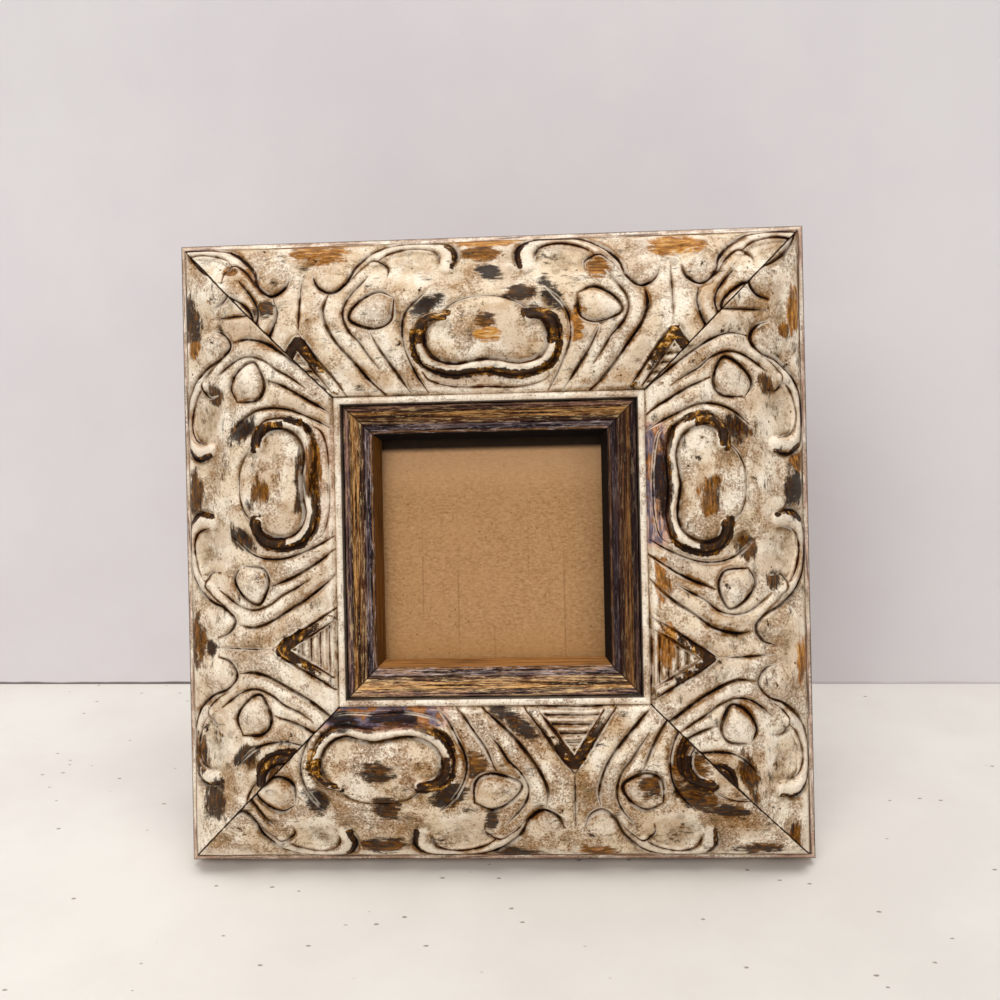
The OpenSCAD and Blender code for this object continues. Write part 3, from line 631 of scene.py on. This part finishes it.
def ornament_finish(rail, colours):
    """Whitewash on the moulding, under a thin yellowed glaze.

    Grime and painted shade lie low and beside the grooves, a painted highlight lies on the high forms, pale
    edges run beside the grooves, and dark paint fills the grooves and the rim. In its stains the wash is
    rubbed through to streaks of blue-black, brown, orange and gold. The darker paints are richer in colour.
    """
    k = RAILS.index(rail)
    speckle, grime_and_shade, warm, yellow = RAIL_LOOKS[rail]
    f = Finish(f"{rail}_whitewash")
    place = f.place(k)
    wobble = f.noise(place, 380, 4, 0.65)
    drift = f.noise(place, 90, 3, 0.6)
    low = f.attribute("low")
    line = f.attribute("line")
    # Halo: tan grime and painted shade beside the lines, where the wash is also thinner
    halo = f.step(line + (wobble - 0.5) * 4 + (drift - 0.5) * 5, 0.6, 3.0, 1, 0)
    colour, speckles = wash(f, k, colours, speckle, grime_and_shade, f.attribute("clean") - halo * 0.9)
    glaze = f.step(f.noise(place, 52, 5, 0.65, 0.4) + 0.12 * yellow, 0.46, 0.64)
    colour = f.mix(glaze * (0.35 + 0.6 * yellow), colour, srgb(216, 192, 154), "MULTIPLY")
    # Painted highlight on the high forms
    crest_highlight = f.step(low + (wobble - 0.5) * 1.8, -0.25, -1.25)
    colour = f.mix(crest_highlight * 0.6, colour, colours.cream_light)
    colour = f.mix(halo * (0.20 + 0.25 * grime_and_shade), colour, colours.tan)
    broad = f.noise(place, 60, 4, 0.6)
    # Painted shadow beside the grooves, in broad soft patches
    shadow = f.step(line + (broad - 0.5) * 11 + (wobble - 0.5) * 2, 0.4, 2.2, 1, 0)
    colour = f.mix(shadow * (0.6 + 0.4 * grime_and_shade), colour, srgb(176, 144, 108), "MULTIPLY")
    # Grime and painted shade in the hollows
    grime_and_shade_in_hollows = low + (wobble - 0.5) * 1.4 + (drift - 0.5) * 1.2 + (speckles - 0.5) * 0.5
    colour = f.mix(f.step(grime_and_shade_in_hollows, 0.0, 0.9) * (0.55 + 0.3 * grime_and_shade), colour, colours.olive)
    colour = f.mix(f.step(grime_and_shade_in_hollows, 0.35, 1.3) * (0.75 + 0.25 * grime_and_shade), colour, srgb(146, 110, 72), "MULTIPLY")
    band = f.attribute("band")
    streaks = f.noise(f.place(k, (0.10, 1, 1)), 650, 6, 0.75)
    tint = f.step(band * (0.3 + 0.6 * warm) + streaks - 0.5, 0.30, 0.66)
    colour = f.mix(tint * (0.35 + 0.4 * warm), colour, colours.pink)
    along = f.place(k, (0.2, 1, 1))
    stripe = f.step(band * (0.25 + 0.40 * warm) + (0.5 - streaks), 0.46, 0.58)
    stripes = f.ramp(drift + streaks * 0.5 - 0.22, [
        (0.46, srgb(56, 60, 84)), (0.54, srgb(108, 108, 128)), (0.57, colours.brown), (0.63, ORANGE)])
    colour = f.mix(stripe * 0.85, colour, stripes)
    dry_brush = f.noise(f.place(k, (0.22, 1, 1)), 620, 6, 0.8)
    ragged = (dry_brush - 0.5) * 2.4 + (f.noise(place, 130, 4, 0.6) - 0.5) * 2.0
    worn = f.step(f.attribute("stain") + ragged, 0.18, 0.66)
    colour = f.mix(worn * 0.95, colour, rub_colours(f, along, f.attribute("warmth")))
    dark = f.attribute("dark")
    deep = f.step(dark + (wobble - 0.5) * 1.2 + (drift - 0.5) * 2.4 + (speckles - 0.5) * 0.6, 0.42, 0.60)
    rim_colour = f.ramp(f.noise(f.place(k, (0.45, 1, 1)), 420, 6, 0.75) + (broad - 0.5) * 0.3 - 0.02, [
        (0.48, colours.dark), (0.56, colours.brown), (0.62, colours.gold), (0.68, colours.cream)])
    colour = f.mix(deep * (0.98 - band * 0.55 * warm), colour, rim_colour)
    # Pale cream edges beside the grooves
    pale_groove_edge = f.step(line + (wobble - 0.5) * 1.6, 2.4, 1.5) * f.step(drift, 0.42, 0.60) * (1 - deep)
    colour = f.mix(pale_groove_edge * 0.5, colour, colours.cream_light)
    broken_line = line + (wobble - 0.5) * 1.3 + (drift - 0.5) * 2.2 + (speckles - 0.5) * 0.9
    inked = f.step(broken_line, 0.60, 0.84, 1, 0) * f.step(broad, 0.60, 0.46, 0.5, 1.0)
    ink = f.mix(f.step(drift, 0.46, 0.60), srgb(78, 42, 18), srgb(126, 86, 50))
    colour = f.mix(inked, colour, ink, "MULTIPLY")
    seam = f.step(f.attribute("mitre") + (wobble - 0.5) * 0.6, 0.20, 0.42, 1, 0)
    colour = f.mix(seam * 0.95, colour, colours.dark)
    grey = f.node("ShaderNodeRGBToBW", {}, {0: colour})
    rich = f.node("ShaderNodeHueSaturation", {}, {"Saturation": 1.2, "Color": colour})
    colour = f.mix(f.step(grey, 0.50, 0.10), colour, rich)
    rough = f.step(deep + worn, 0, 1, 0.60, 0.45)
    normal = f.bump(speckles, 0.00018, 0.8, f.bump(wobble, 0.0005, 0.5))
    return f.surface(Base_Color=colour, Roughness=rough, Specular_IOR_Level=0.12, Normal=normal)


def rail_finish(rail, colours):
    """Whitewash on the wood of a rail, with bare wood at the back.

    It is streaked pink and brown along the outer side and the border, with lines of painted shade at the
    ornament's foot and at the outer front corner. It is cleaner on the bead, and painted shade darkens it from
    the bead inwards, in the gap under the slip.
    """
    k = RAILS.index(rail)
    speckle, grime_and_shade, warm = RAIL_LOOKS[rail][:3]
    f = Finish(f"{rail}_washed_wood")
    place = f.place(k)
    inwards = f.part(place, 2) / MM
    colour, _ = wash(f, k, colours, speckle, grime_and_shade, f.step(inwards, FIELD_END - 1, FIELD_END, 0, 0.6))
    along = f.place(k, (0.08, 1, 1))
    outer = f.step(inwards, BORDER_W + 3, BORDER_W + 5, 1, 0)
    streaks = f.noise(along, 800, 5, 0.65)
    colour = f.mix(outer * f.step(streaks, 0.44, 0.56) * (0.35 + 0.45 * warm), colour, colours.pink)
    blotch = f.noise(f.place(k, (0.3, 1, 1)), 90, 4)
    colour = f.mix(outer * f.step(streaks, 0.54, 0.62) * 0.7, colour, rub_colours(f, along, blotch))
    # Painted shade: dark lines at the ornament's foot and at the outer front corner
    foot = f.step(inwards + (streaks - 0.5) * 2, BORDER_W - 0.8, BORDER_W - 0.3)
    rim = f.step(inwards + (streaks - 0.5) * 1.2, 0.55, 0.25) * f.step(f.part(place, 1) / MM, -16.0, -16.6)
    colour = f.mix(outer * (foot + rim) * 0.75, colour, colours.dark)
    worn = f.step(f.noise(f.place(k, (0.2, 1, 1)), 500, 5, 0.7), 0.58, 0.66)
    colour = f.mix(worn * 0.55, colour, colours.brown)
    # Painted shade in the gap under the slip, from the bead inwards
    seat = f.step(inwards, BEAD_END - 0.5, BEAD_END - 0.2)
    colour = f.mix(seat * 0.9, colour, colours.dark)
    grain = f.noise(f.place(k, (0.06, 1, 1)), 700, 5, 0.6)
    wood = f.ramp(grain, [(0.35, srgb(122, 86, 54)), (0.5, srgb(164, 124, 82)), (0.65, srgb(184, 146, 102))])
    behind = f.step(f.part(place, 1) / MM, -0.6, -0.2)
    colour = f.mix(behind, colour, wood)
    normal = f.bump(streaks, 0.00015, 0.7)
    return f.surface(Base_Color=colour, Roughness=0.5, Normal=normal)


# How each slip looks: how much of it is rubbed to gold, how much painted shade darkens it, how worn, the
# colour of its outer edge, and that of its sight edge, partly its paint and partly painted light and shade
SLIP_LOOKS = {
    "top": (0.70, 0.10, 0.10, srgb(96, 56, 42), srgb(8, 4, 3)),
    "right": (0.20, 0.80, 0.0, srgb(30, 26, 40), srgb(24, 14, 9)),
    "bottom": (1.0, 0.0, 0.60, srgb(52, 46, 62), srgb(164, 112, 60)),
    "left": (0.60, 0.0, 0.20, srgb(104, 78, 84), srgb(112, 70, 24)),
}

# Light streaks of the slip: where their band starts and ends across it, and their colour
SLIP_LIGHTS = (
    (0.03, 0.18, srgb(166, 122, 102)), (0.20, 0.46, srgb(214, 160, 92)), (0.59, 0.77, srgb(142, 122, 114)))


def slip_finish(rail):
    """Dark gilt slip, with a band of its own colour at the outer edge, then gold-brown and slate ones.

    Black lines part the bands. Streaks and flecks of black and gold break them, and pale scratches and rubs
    lie on top. The sight edge has its own colour, partly painted light and shade, with black streaks. Painted
    shade darkens each slip by its own amount.
    """
    k = RAILS.index(rail)
    gilt, painted_shade, worn, outer, sight = SLIP_LOOKS[rail]
    f = Finish(f"{rail}_dark_gilt")
    place = f.place(k)
    inwards = f.part(place, 2) / MM
    streaks = f.noise(f.place(k, (0.025, 1, 1)), 1200, 4, 0.8)
    patches = f.noise(f.place(k, (0.25, 1, 1)), 160, 5, 0.75)
    share = (inwards - BEAD_END + (patches - 0.5) * 0.9 + (streaks - 0.5) * 1.0) / SLIP_W
    black = srgb(17, 10, 8)
    # The black at the outer edge is painted shade in the gap at the bead
    base = f.ramp(share, [
        (0.03, black), (0.06, outer), (0.17, outer), (0.20, black), (0.23, srgb(142, 88, 36)),
        (0.44, srgb(118, 68, 28)), (0.47, black), (0.50, srgb(98, 54, 30)), (0.56, srgb(76, 42, 30)),
        (0.58, black), (0.62, srgb(92, 68, 74)), (0.65, srgb(52, 42, 56)), (0.76, srgb(40, 29, 38)),
        (0.79, srgb(150, 100, 50)), (0.83, black)])
    colour = f.mix(f.step(patches, 0.55, 0.64) * 0.5, base, srgb(108, 66, 46))
    light = f.step(streaks + (patches - 0.5) * 0.5 + 0.04 * gilt, 0.52, 0.59) * (0.35 + 0.6 * gilt)
    for start, end, tone in SLIP_LIGHTS:
        inside = f.step(share, start, start + 0.03) * f.step(share, end, end - 0.03)
        colour = f.mix(light * inside, colour, tone)
    bare = f.step(f.noise(f.place(k, (0.06, 1, 1)), 700, 6, 0.85) + 0.08 * worn, 0.52, 0.60)
    colour = f.mix(bare * worn, colour, srgb(208, 160, 118))
    colour = f.mix(f.step(streaks + (patches - 0.5) * 0.4, 0.48, 0.42) * 0.9, colour, black)
    scratch = f.step(f.noise(f.place(k, (0.05, 1, 1)), 1000, 4, 0.78), 0.56, 0.61)
    slate = f.step(share, 0.54, 0.60)
    flecks = f.noise(f.place(k, (0.16, 1, 1)), 1100, 5, 0.8)
    colour = f.mix(f.step(flecks, 0.50, 0.57) * 0.55, colour, black)
    pale_flecks = f.step(flecks, 0.45, 0.40) * (0.15 + 0.45 * gilt)
    pale = scratch * (slate * 0.3 * gilt + 0.15 + 0.75 * worn) + pale_flecks
    colour = f.mix(pale, colour, f.mix(slate, srgb(244, 208, 150), srgb(204, 186, 182)))
    # Painted shade over the whole slip, by its own amount
    colour = f.mix(painted_shade * 0.6, colour, srgb(42, 20, 13))
    mitre = f.step(f.node("ShaderNodeMath", {"operation": "ABSOLUTE"}, {0: f.part(place, 0) / MM}) + inwards,
                   MIDDLE - 0.5, MIDDLE - 0.2)
    colour = f.mix(mitre * 0.85, colour, black)
    # Sight edge: its paint, partly painted light and shade, with black streaks
    edge = f.step(inwards, MOULDING_W - 2.3, MOULDING_W - 2.0)
    colour = f.mix(edge, colour, f.mix(f.step(streaks, 0.52, 0.40) * 0.6, sight, black))
    normal = f.bump(streaks, 0.00035, 0.8)
    rough = f.step(streaks + edge, 0.40, 0.60, 0.6, 0.35) + edge * 0.5
    return f.surface(Base_Color=colour, Roughness=rough, Specular_IOR_Level=0.12, Normal=normal)


def kraft_finish():
    """Corrugated board in brown paper: level fibres, specks, and faint lines where the flutes lie below.

    A nearly black painted shadow lies along its top. Painted light makes the paper paler just below that and
    warmer at its foot, and painted shade makes it a little darker to the right.
    """
    f = Finish("kraft_paper")
    place = f.place()
    fibres = f.noise(f.place(scale=(0.55, 1, 1)), 1100, 6, 0.8)
    colour = f.ramp(fibres, [
        (0.34, srgb(156, 111, 68)), (0.5, srgb(186, 141, 95)), (0.66, srgb(209, 166, 120))])
    cloud = f.step(f.noise(place, 60, 5, 0.6), 0.35, 0.65)
    colour = f.mix(cloud * 0.35, colour, srgb(196, 152, 102))
    speck = f.step(f.noise(place, 1500, 3, 0.6), 0.62, 0.68)
    colour = f.mix(speck * 0.45, colour, srgb(104, 72, 42))
    fleck = f.step(f.cells(place, 380), 0.10, 0.16, 1, 0)
    chosen = f.step(f.part(f.cells(place, 380, "Color"), 0), 0.84, 0.86)
    colour = f.mix(fleck * chosen * 0.7, colour, srgb(84, 54, 34))
    across = f.part(place, 0) / MM / (FLUTE_LINES / 2) + f.noise(place, 20, 2) * 0.04
    flute = f.node("ShaderNodeMath", {"operation": "PINGPONG"}, {0: across, 1: 1.0})
    crease = f.step(flute, 0.0, 0.07, 1, 0) * f.step(f.noise(f.place(scale=(1, 1, 0.3)), 60, 2), 0.44, 0.60)
    from_top = SIDE - MOULDING_W - f.part(f.place(RAILS.index("bottom")), 2) / MM
    colour = f.mix(crease * f.step(from_top, 30, 60, 0.10, 0.38), colour, srgb(116, 80, 46))
    # Painted warm light at the foot of the board
    colour = f.mix(f.step(from_top, 74, 90) * 0.3, colour, srgb(206, 148, 80))
    # Painted light just below the top shadow
    colour = f.mix(f.step(from_top, 26, 8) * 0.5, colour, srgb(232, 182, 134))
    # Painted shade towards the right
    colour = f.mix(f.step(f.part(place, 0) / MM, 24, 46) * 0.16, colour, (0, 0, 0))
    # Painted shadow of the top slip on the board
    shade = f.step(from_top + (fibres - 0.5) * 0.5, SHADE_W + 0.4, SHADE_W - 2.4)
    colour = f.mix(shade * 0.97, colour, srgb(20, 9, 4))
    normal = f.bump(fibres - crease * 0.6, 0.0001, 0.6)
    return f.surface(Base_Color=colour, Roughness=0.85, Specular_IOR_Level=0.1, Normal=normal)


def black_board_finish():
    """Hardboard under black paper, with a fine leather-like grain and grey scuffs."""
    f = Finish("black_paper")
    place = f.place()
    grain = f.cells(place, 1100)
    scuff = f.step(f.noise(f.place(scale=(1, 1, 0.2)), 160, 6, 0.7), 0.58, 0.72)
    colour = f.mix(scuff * 0.5, srgb(38, 37, 38), srgb(84, 82, 80))
    normal = f.bump(grain, 0.00012, 0.6)
    return f.surface(Base_Color=colour, Roughness=0.62, Normal=normal)


def metal_finish(name, light, dull, rough):
    """Stamped metal: drawn scratches and dull stains."""
    f = Finish(name)
    place = f.place()
    stain = f.step(f.noise(place, 260, 5, 0.65), 0.45, 0.65)
    colour = f.mix(stain * 0.6, light, dull)
    drawn = f.noise(f.place(scale=(0.06, 1, 1)), 3200, 3, 0.6)
    return f.surface(
        Base_Color=colour, Metallic=1.0, Roughness=f.step(drawn, 0.3, 0.7, rough, rough + 0.18),
        Normal=f.bump(drawn, 0.00003, 0.4))


def glass_finish():
    """Clear pane: nearly unseen from the front, with a faint gloss and a little dust."""
    f = Finish("clear_glass")
    dust = f.step(f.noise(f.place(), 700, 4, 0.6), 0.60, 0.80)
    return f.surface(
        Base_Color=srgb(40, 46, 44), Roughness=0.03, Alpha=0.025 + dust * 0.02, IOR=1.5)


def painted(node, material):
    """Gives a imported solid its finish."""
    piece = frame["nodes"][node]
    piece.data.materials.clear()
    piece.data.materials.append(material)


class OrnamentSizes(PropertyGroup):
    """Sizes of the moulded relief."""

    strand_h: FloatProperty(
        name="Strand height", description="Height of the strands between two grooves",
        default=2.0 * MM, min=0, max=3 * MM, unit="LENGTH", subtype="DISTANCE")
    groove_depth: FloatProperty(
        name="Groove depth", description="Depth of the deepest cut lines for a stated depth of one",
        default=0.9 * MM, min=0, max=2 * MM, unit="LENGTH", subtype="DISTANCE")
    unevenness: FloatProperty(
        name="Unevenness", description="Rise and fall of the hand-laid surface",
        default=0.22 * MM, min=0, max=1 * MM, unit="LENGTH", subtype="DISTANCE")


def colour_property(name, description, default):
    """A colour that a user can change."""
    return FloatVectorProperty(
        name=name, description=description, default=default, size=3, min=0, max=1, subtype="COLOR")


class WashColours(PropertyGroup):
    """Colours of the whitewash and of what shows through it, some of which also serve as painted highlight and
    shade.
    """

    # Light cream is also the painted highlight on the high forms; tan, olive and dark brown also paint shade
    # beside the grooves, in the hollows and in lines on the rails
    cream_light: colour_property("Light cream", "Thick wash on the high forms", CREAM_LIGHT)
    cream: colour_property("Cream", "Thin wash", CREAM)
    tan: colour_property("Tan", "Old paint that shows through thin wash", TAN)
    olive: colour_property("Olive grey", "Grime in the hollows", OLIVE)
    brown: colour_property("Brown", "Specks and old paint", BROWN)
    dark: colour_property("Dark brown", "Paint in the grooves and on the rim", DARK)
    gold: colour_property("Gold", "Rubbed gilding", GOLD)
    pink: colour_property("Pink", "Bole that shows in the inner band", PINK)


class StudioSettings(PropertyGroup):
    """The light on the shelf."""

    window: FloatProperty(
        name="Window", description="Power of the light from the upper left", default=14, min=0, max=100,
        unit="POWER")
    ceiling: FloatProperty(
        name="Ceiling", description="Power of the light from above", default=11.5, min=0, max=100,
        unit="POWER")
    sky: FloatProperty(
        name="Room light", description="Strength of the even light of the room", default=0.43, min=0, max=3)


class PictureFrameSettings(PropertyGroup):
    """All settings of the picture frame."""

    ornament: PointerProperty(type=OrnamentSizes)
    colours: PointerProperty(type=WashColours)
    studio: PointerProperty(type=StudioSettings)


class FRAME_OT_ornament(Operator):
    """Moulded ornament on the four rails"""

    bl_idname = "frame.ornament"
    bl_label = "Moulded ornament"

    def execute(self, context):
        settings = context.scene.picture_frame
        for rail in RAILS:
            name = f"{rail}_moulding"
            piece = bpy.data.objects.new(name, ornament_mesh(name, rail, settings.ornament))
            context.scene.collection.objects.link(piece)
            piece.data.materials.append(ornament_finish(rail, settings.colours))
            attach(piece, "frame")
            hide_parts(f"{rail}_ornament")
        return {"FINISHED"}


class FRAME_OT_rails(Operator):
    """Whitewashed wood of the four rails"""

    bl_idname = "frame.rails"
    bl_label = "Rails"

    def execute(self, context):
        for rail in RAILS:
            painted(f"{rail}_rail", rail_finish(rail, context.scene.picture_frame.colours))
        return {"FINISHED"}


class FRAME_OT_slips(Operator):
    """Dark gilt slips round the sight opening"""

    bl_idname = "frame.slips"
    bl_label = "Gilt slips"

    def execute(self, context):
        for rail in RAILS:
            painted(f"{rail}_slip", slip_finish(rail))
        return {"FINISHED"}


class FRAME_OT_picture(Operator):
    """Glass and kraft boards in the rabbet"""

    bl_idname = "frame.picture"
    bl_label = "Glass and boards"

    def execute(self, context):
        kraft = kraft_finish()
        for node in ("picture_board", "filler_board_front", "filler_board_rear"):
            painted(node, kraft)
        painted("glass_pane", glass_finish())
        return {"FINISHED"}


class FRAME_OT_back(Operator):
    """Black easel back and strut"""

    bl_idname = "frame.back"
    bl_label = "Back and strut"

    def execute(self, context):
        board = black_board_finish()
        painted("easel_back", board)
        painted("strut_leg", board)
        return {"FINISHED"}


class FRAME_OT_hardware(Operator):
    """Brassed and zinc-plated hardware on the back"""

    bl_idname = "frame.hardware"
    bl_label = "Hardware"

    def execute(self, context):
        brass = metal_finish("brassed_steel", srgb(206, 168, 92), srgb(140, 106, 58), 0.28)
        zinc = metal_finish("zinc_steel", srgb(196, 197, 198), srgb(138, 138, 136), 0.25)
        corners = ("upper_left", "upper_right", "lower_left", "lower_right")
        buttons = [f"turn_button_{corner}" for corner in corners]
        for node in ["hinge_leaf_fixed", "hinge_leaf_moving", "sawtooth_hanger"] + buttons:
            painted(node, brass)
        for node in ("hinge_pin", "back_rivets", "strut_rivets", "turn_button_screws", "corner_nails",
                     "hanger_nails"):
            painted(node, zinc)
        return {"FINISHED"}


# The camera, in the frame's own axes: x right, y up the face, z out of it, from the middle of the plane of
# the outer front edges. Its turns are about x, then y, then z.
CAMERA_PLACE = (24.3, 19.0, 407.5)
CAMERA_TURNS = (-0.05, -2.97, 1.2)
FRONT_EDGE_H = 17.0
# The picture's size, the row in it where the wall meets the shelf, and the columns that both reach to
PICTURE_PX = 1000
WALL_FOOT_ROW = 684
STAGE_COLUMNS = (-1500, 2500)
# Height of the wall and depth of the shelf in front of it, in metres
WALL_H = 1.4
SHELF_DEPTH = 1.8


def camera_matrix():
    """Place and turn of the camera: the opposite turns of the face as the picture shows it, then the lean."""
    turns = [Matrix.Rotation(math.radians(a), 3, axis) for a, axis in zip(CAMERA_TURNS, "XYZ")]
    seen = turns[2] @ turns[1] @ turns[0]
    face = Matrix(((1, 0, 0), (0, 0, -1), (0, 1, 0)))
    turn = (STAND.to_3x3() @ face @ seen.transposed()).to_4x4()
    x, y, z = CAMERA_PLACE
    place = STAND @ Vector((x * MM, -(z + FRONT_EDGE_H) * MM, (y + MIDDLE) * MM))
    return Matrix.Translation(place) @ turn


def on_shelf(column, row):
    """Place on the shelf that the picture shows at a column and row."""
    eye = camera_matrix()
    ray = eye.to_3x3() @ Vector((column / PICTURE_PX - 0.5, 0.5 - row / PICTURE_PX, -1))
    return eye.translation - ray * (eye.translation.z / ray.z)


def sheet(name, corners):
    """Flat four-cornered stage piece."""
    mesh = bpy.data.meshes.new(name)
    mesh.from_pydata(corners, [], [(0, 1, 2, 3)])
    piece = bpy.data.objects.new(name, mesh)
    bpy.context.scene.collection.objects.link(piece)
    piece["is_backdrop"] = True
    return piece


def plaster_finish(name, light, shade, scale, dirt, away):
    """Matt paint with a faint cloud, and painted shade that darkens it a little along away: a direction, and
    its start and end.

    With a dirt of 1 it has a few specks, as on the shelf, and with 0 a dark uneven line along its foot, as on
    the wall. The back of the sheet lets everything through.
    """
    f = Finish(name)
    place = f.place()
    colour = f.mix(f.step(f.noise(place, scale, 5, 0.6), 0.35, 0.65), light, shade)
    direction, start, end = away
    # Painted shade: darker towards the top of the wall and towards the right front of the shelf
    far = f.node("ShaderNodeVectorMath", {"operation": "DOT_PRODUCT"}, {0: place, 1: direction}, out="Value")
    colour = f.mix(f.step(far, start, end) * 0.08, colour, (0, 0, 0))
    dashes = f.place(scale=(0.6, 1, 1))
    speck = f.step(f.cells(dashes, 150) + (f.noise(place, 1200) - 0.5) * 0.08, 0.06, 0.11, 1, 0)
    picked = f.step(f.part(f.cells(dashes, 150, "Color"), 0) + (f.noise(place, 8) - 0.5) * 1.2, 0.66, 0.70)
    colour = f.mix(speck * picked * dirt * 0.7, colour, srgb(104, 92, 78))
    wave = f.noise(f.place(scale=(1, 0, 0)), 26, 2)
    seam = f.step(f.part(place, 2) / MM + wave * 2.6, 2.0, 3.2, 1, 0) * (1 - dirt)
    left = f.step(f.part(place, 0), 0.0, -0.15, 0.25, 1.0)
    colour = f.mix(seam * left * 0.85, colour, srgb(80, 70, 58))
    fine = f.noise(place, scale * 30, 3, 0.6)
    paint = f.node("ShaderNodeBsdfDiffuse", {}, {"Color": colour, "Normal": f.bump(fine, 0.0002, 0.25)})
    clear = f.node("ShaderNodeBsdfTransparent", {}, {})
    behind = f.node("ShaderNodeNewGeometry", out="Backfacing")
    shader = f.node("ShaderNodeMixShader", {}, {0: behind, 1: paint, 2: clear})
    f.tree.links.new(shader.output, f.output.inputs["Surface"])
    return f.material


def area_light(name, place, aim, size, power, colour):
    """Square soft light at a place, turned to its aim."""
    light = bpy.data.lights.new(name, "AREA")
    light.shape = "SQUARE"
    light.size = size
    light.energy = power
    light.color = colour
    lamp = bpy.data.objects.new(name, light)
    bpy.context.scene.collection.objects.link(lamp)
    lamp.location = place
    lamp.rotation_euler = (Vector(aim) - Vector(place)).to_track_quat("-Z", "Y").to_euler()


class FRAME_OT_studio(Operator):
    """Shelf, wall, light and camera"""

    bl_idname = "frame.studio"
    bl_label = "Studio"

    def execute(self, context):
        studio = context.scene.picture_frame.studio
        left, right = [on_shelf(column, WALL_FOOT_ROW) for column in STAGE_COLUMNS]
        up, front = Vector((0, 0, WALL_H)), Vector((0, -SHELF_DEPTH, 0))
        shelf = sheet("shelf", [left + front, right + front, right, left])
        shelf.data.materials.append(plaster_finish(
            "shelf_paint", srgb(238, 235, 228), srgb(232, 228, 221), 9, 1.0, ((1, -1, 0), -0.08, 0.2)))
        wall = sheet("wall", [left, right, right + up, left + up])
        wall.data.materials.append(plaster_finish(
            "wall_paint", srgb(230, 226, 227), srgb(225, 220, 222), 6, 0.0, ((0, 0, 1), 0.24, 0.38)))
        area_light("window", (-0.85, -1.65, 1.3), (0.05, 0, 0.12), 1.0, studio.window, (1.0, 0.99, 0.97))
        area_light("ceiling", (0.15, -0.35, 1.5), (0, 0, 0.1), 0.8, studio.ceiling, (1.0, 0.98, 0.955))
        world = bpy.data.worlds.new("room")
        world.use_nodes = True
        world.node_tree.nodes["Background"].inputs["Color"].default_value = (0.93, 0.93, 0.97, 1)
        world.node_tree.nodes["Background"].inputs["Strength"].default_value = studio.sky
        context.scene.world = world
        camera = bpy.data.objects.new("camera", bpy.data.cameras.new("camera"))
        camera.data.sensor_width = 36
        camera.data.lens = 36
        camera.data.clip_start = 0.01
        camera.matrix_world = camera_matrix()
        context.scene.collection.objects.link(camera)
        context.scene.camera = camera
        context.scene.view_settings.view_transform = "Standard"
        return {"FINISHED"}


class FRAME_PT_panel(Panel):
    """Steps that dress the picture frame"""

    bl_label = "Picture frame"
    bl_idname = "FRAME_PT_panel"
    bl_space_type = "VIEW_3D"
    bl_region_type = "UI"
    bl_category = "Picture frame"

    def draw(self, context):
        for step in STEPS:
            self.layout.operator(step.bl_idname)


STEPS = (
    FRAME_OT_ornament, FRAME_OT_rails, FRAME_OT_slips, FRAME_OT_picture, FRAME_OT_back, FRAME_OT_hardware,
    FRAME_OT_studio,
)
CLASSES = (OrnamentSizes, WashColours, StudioSettings, PictureFrameSettings, *STEPS, FRAME_PT_panel)


def register():
    for item in CLASSES:
        bpy.utils.register_class(item)
    bpy.types.Scene.picture_frame = PointerProperty(type=PictureFrameSettings)


def unregister():
    del bpy.types.Scene.picture_frame
    for item in reversed(CLASSES):
        bpy.utils.unregister_class(item)


def main():
    """Dresses the frame step by step."""
    register()
    for step in STEPS:
        group, name = step.bl_idname.split(".")
        getattr(getattr(bpy.ops, group), name)()
    sizes = {"cad": CAD_BOX, "visual": [list(corner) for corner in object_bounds()]}


if __name__ == "__main__":
    main()
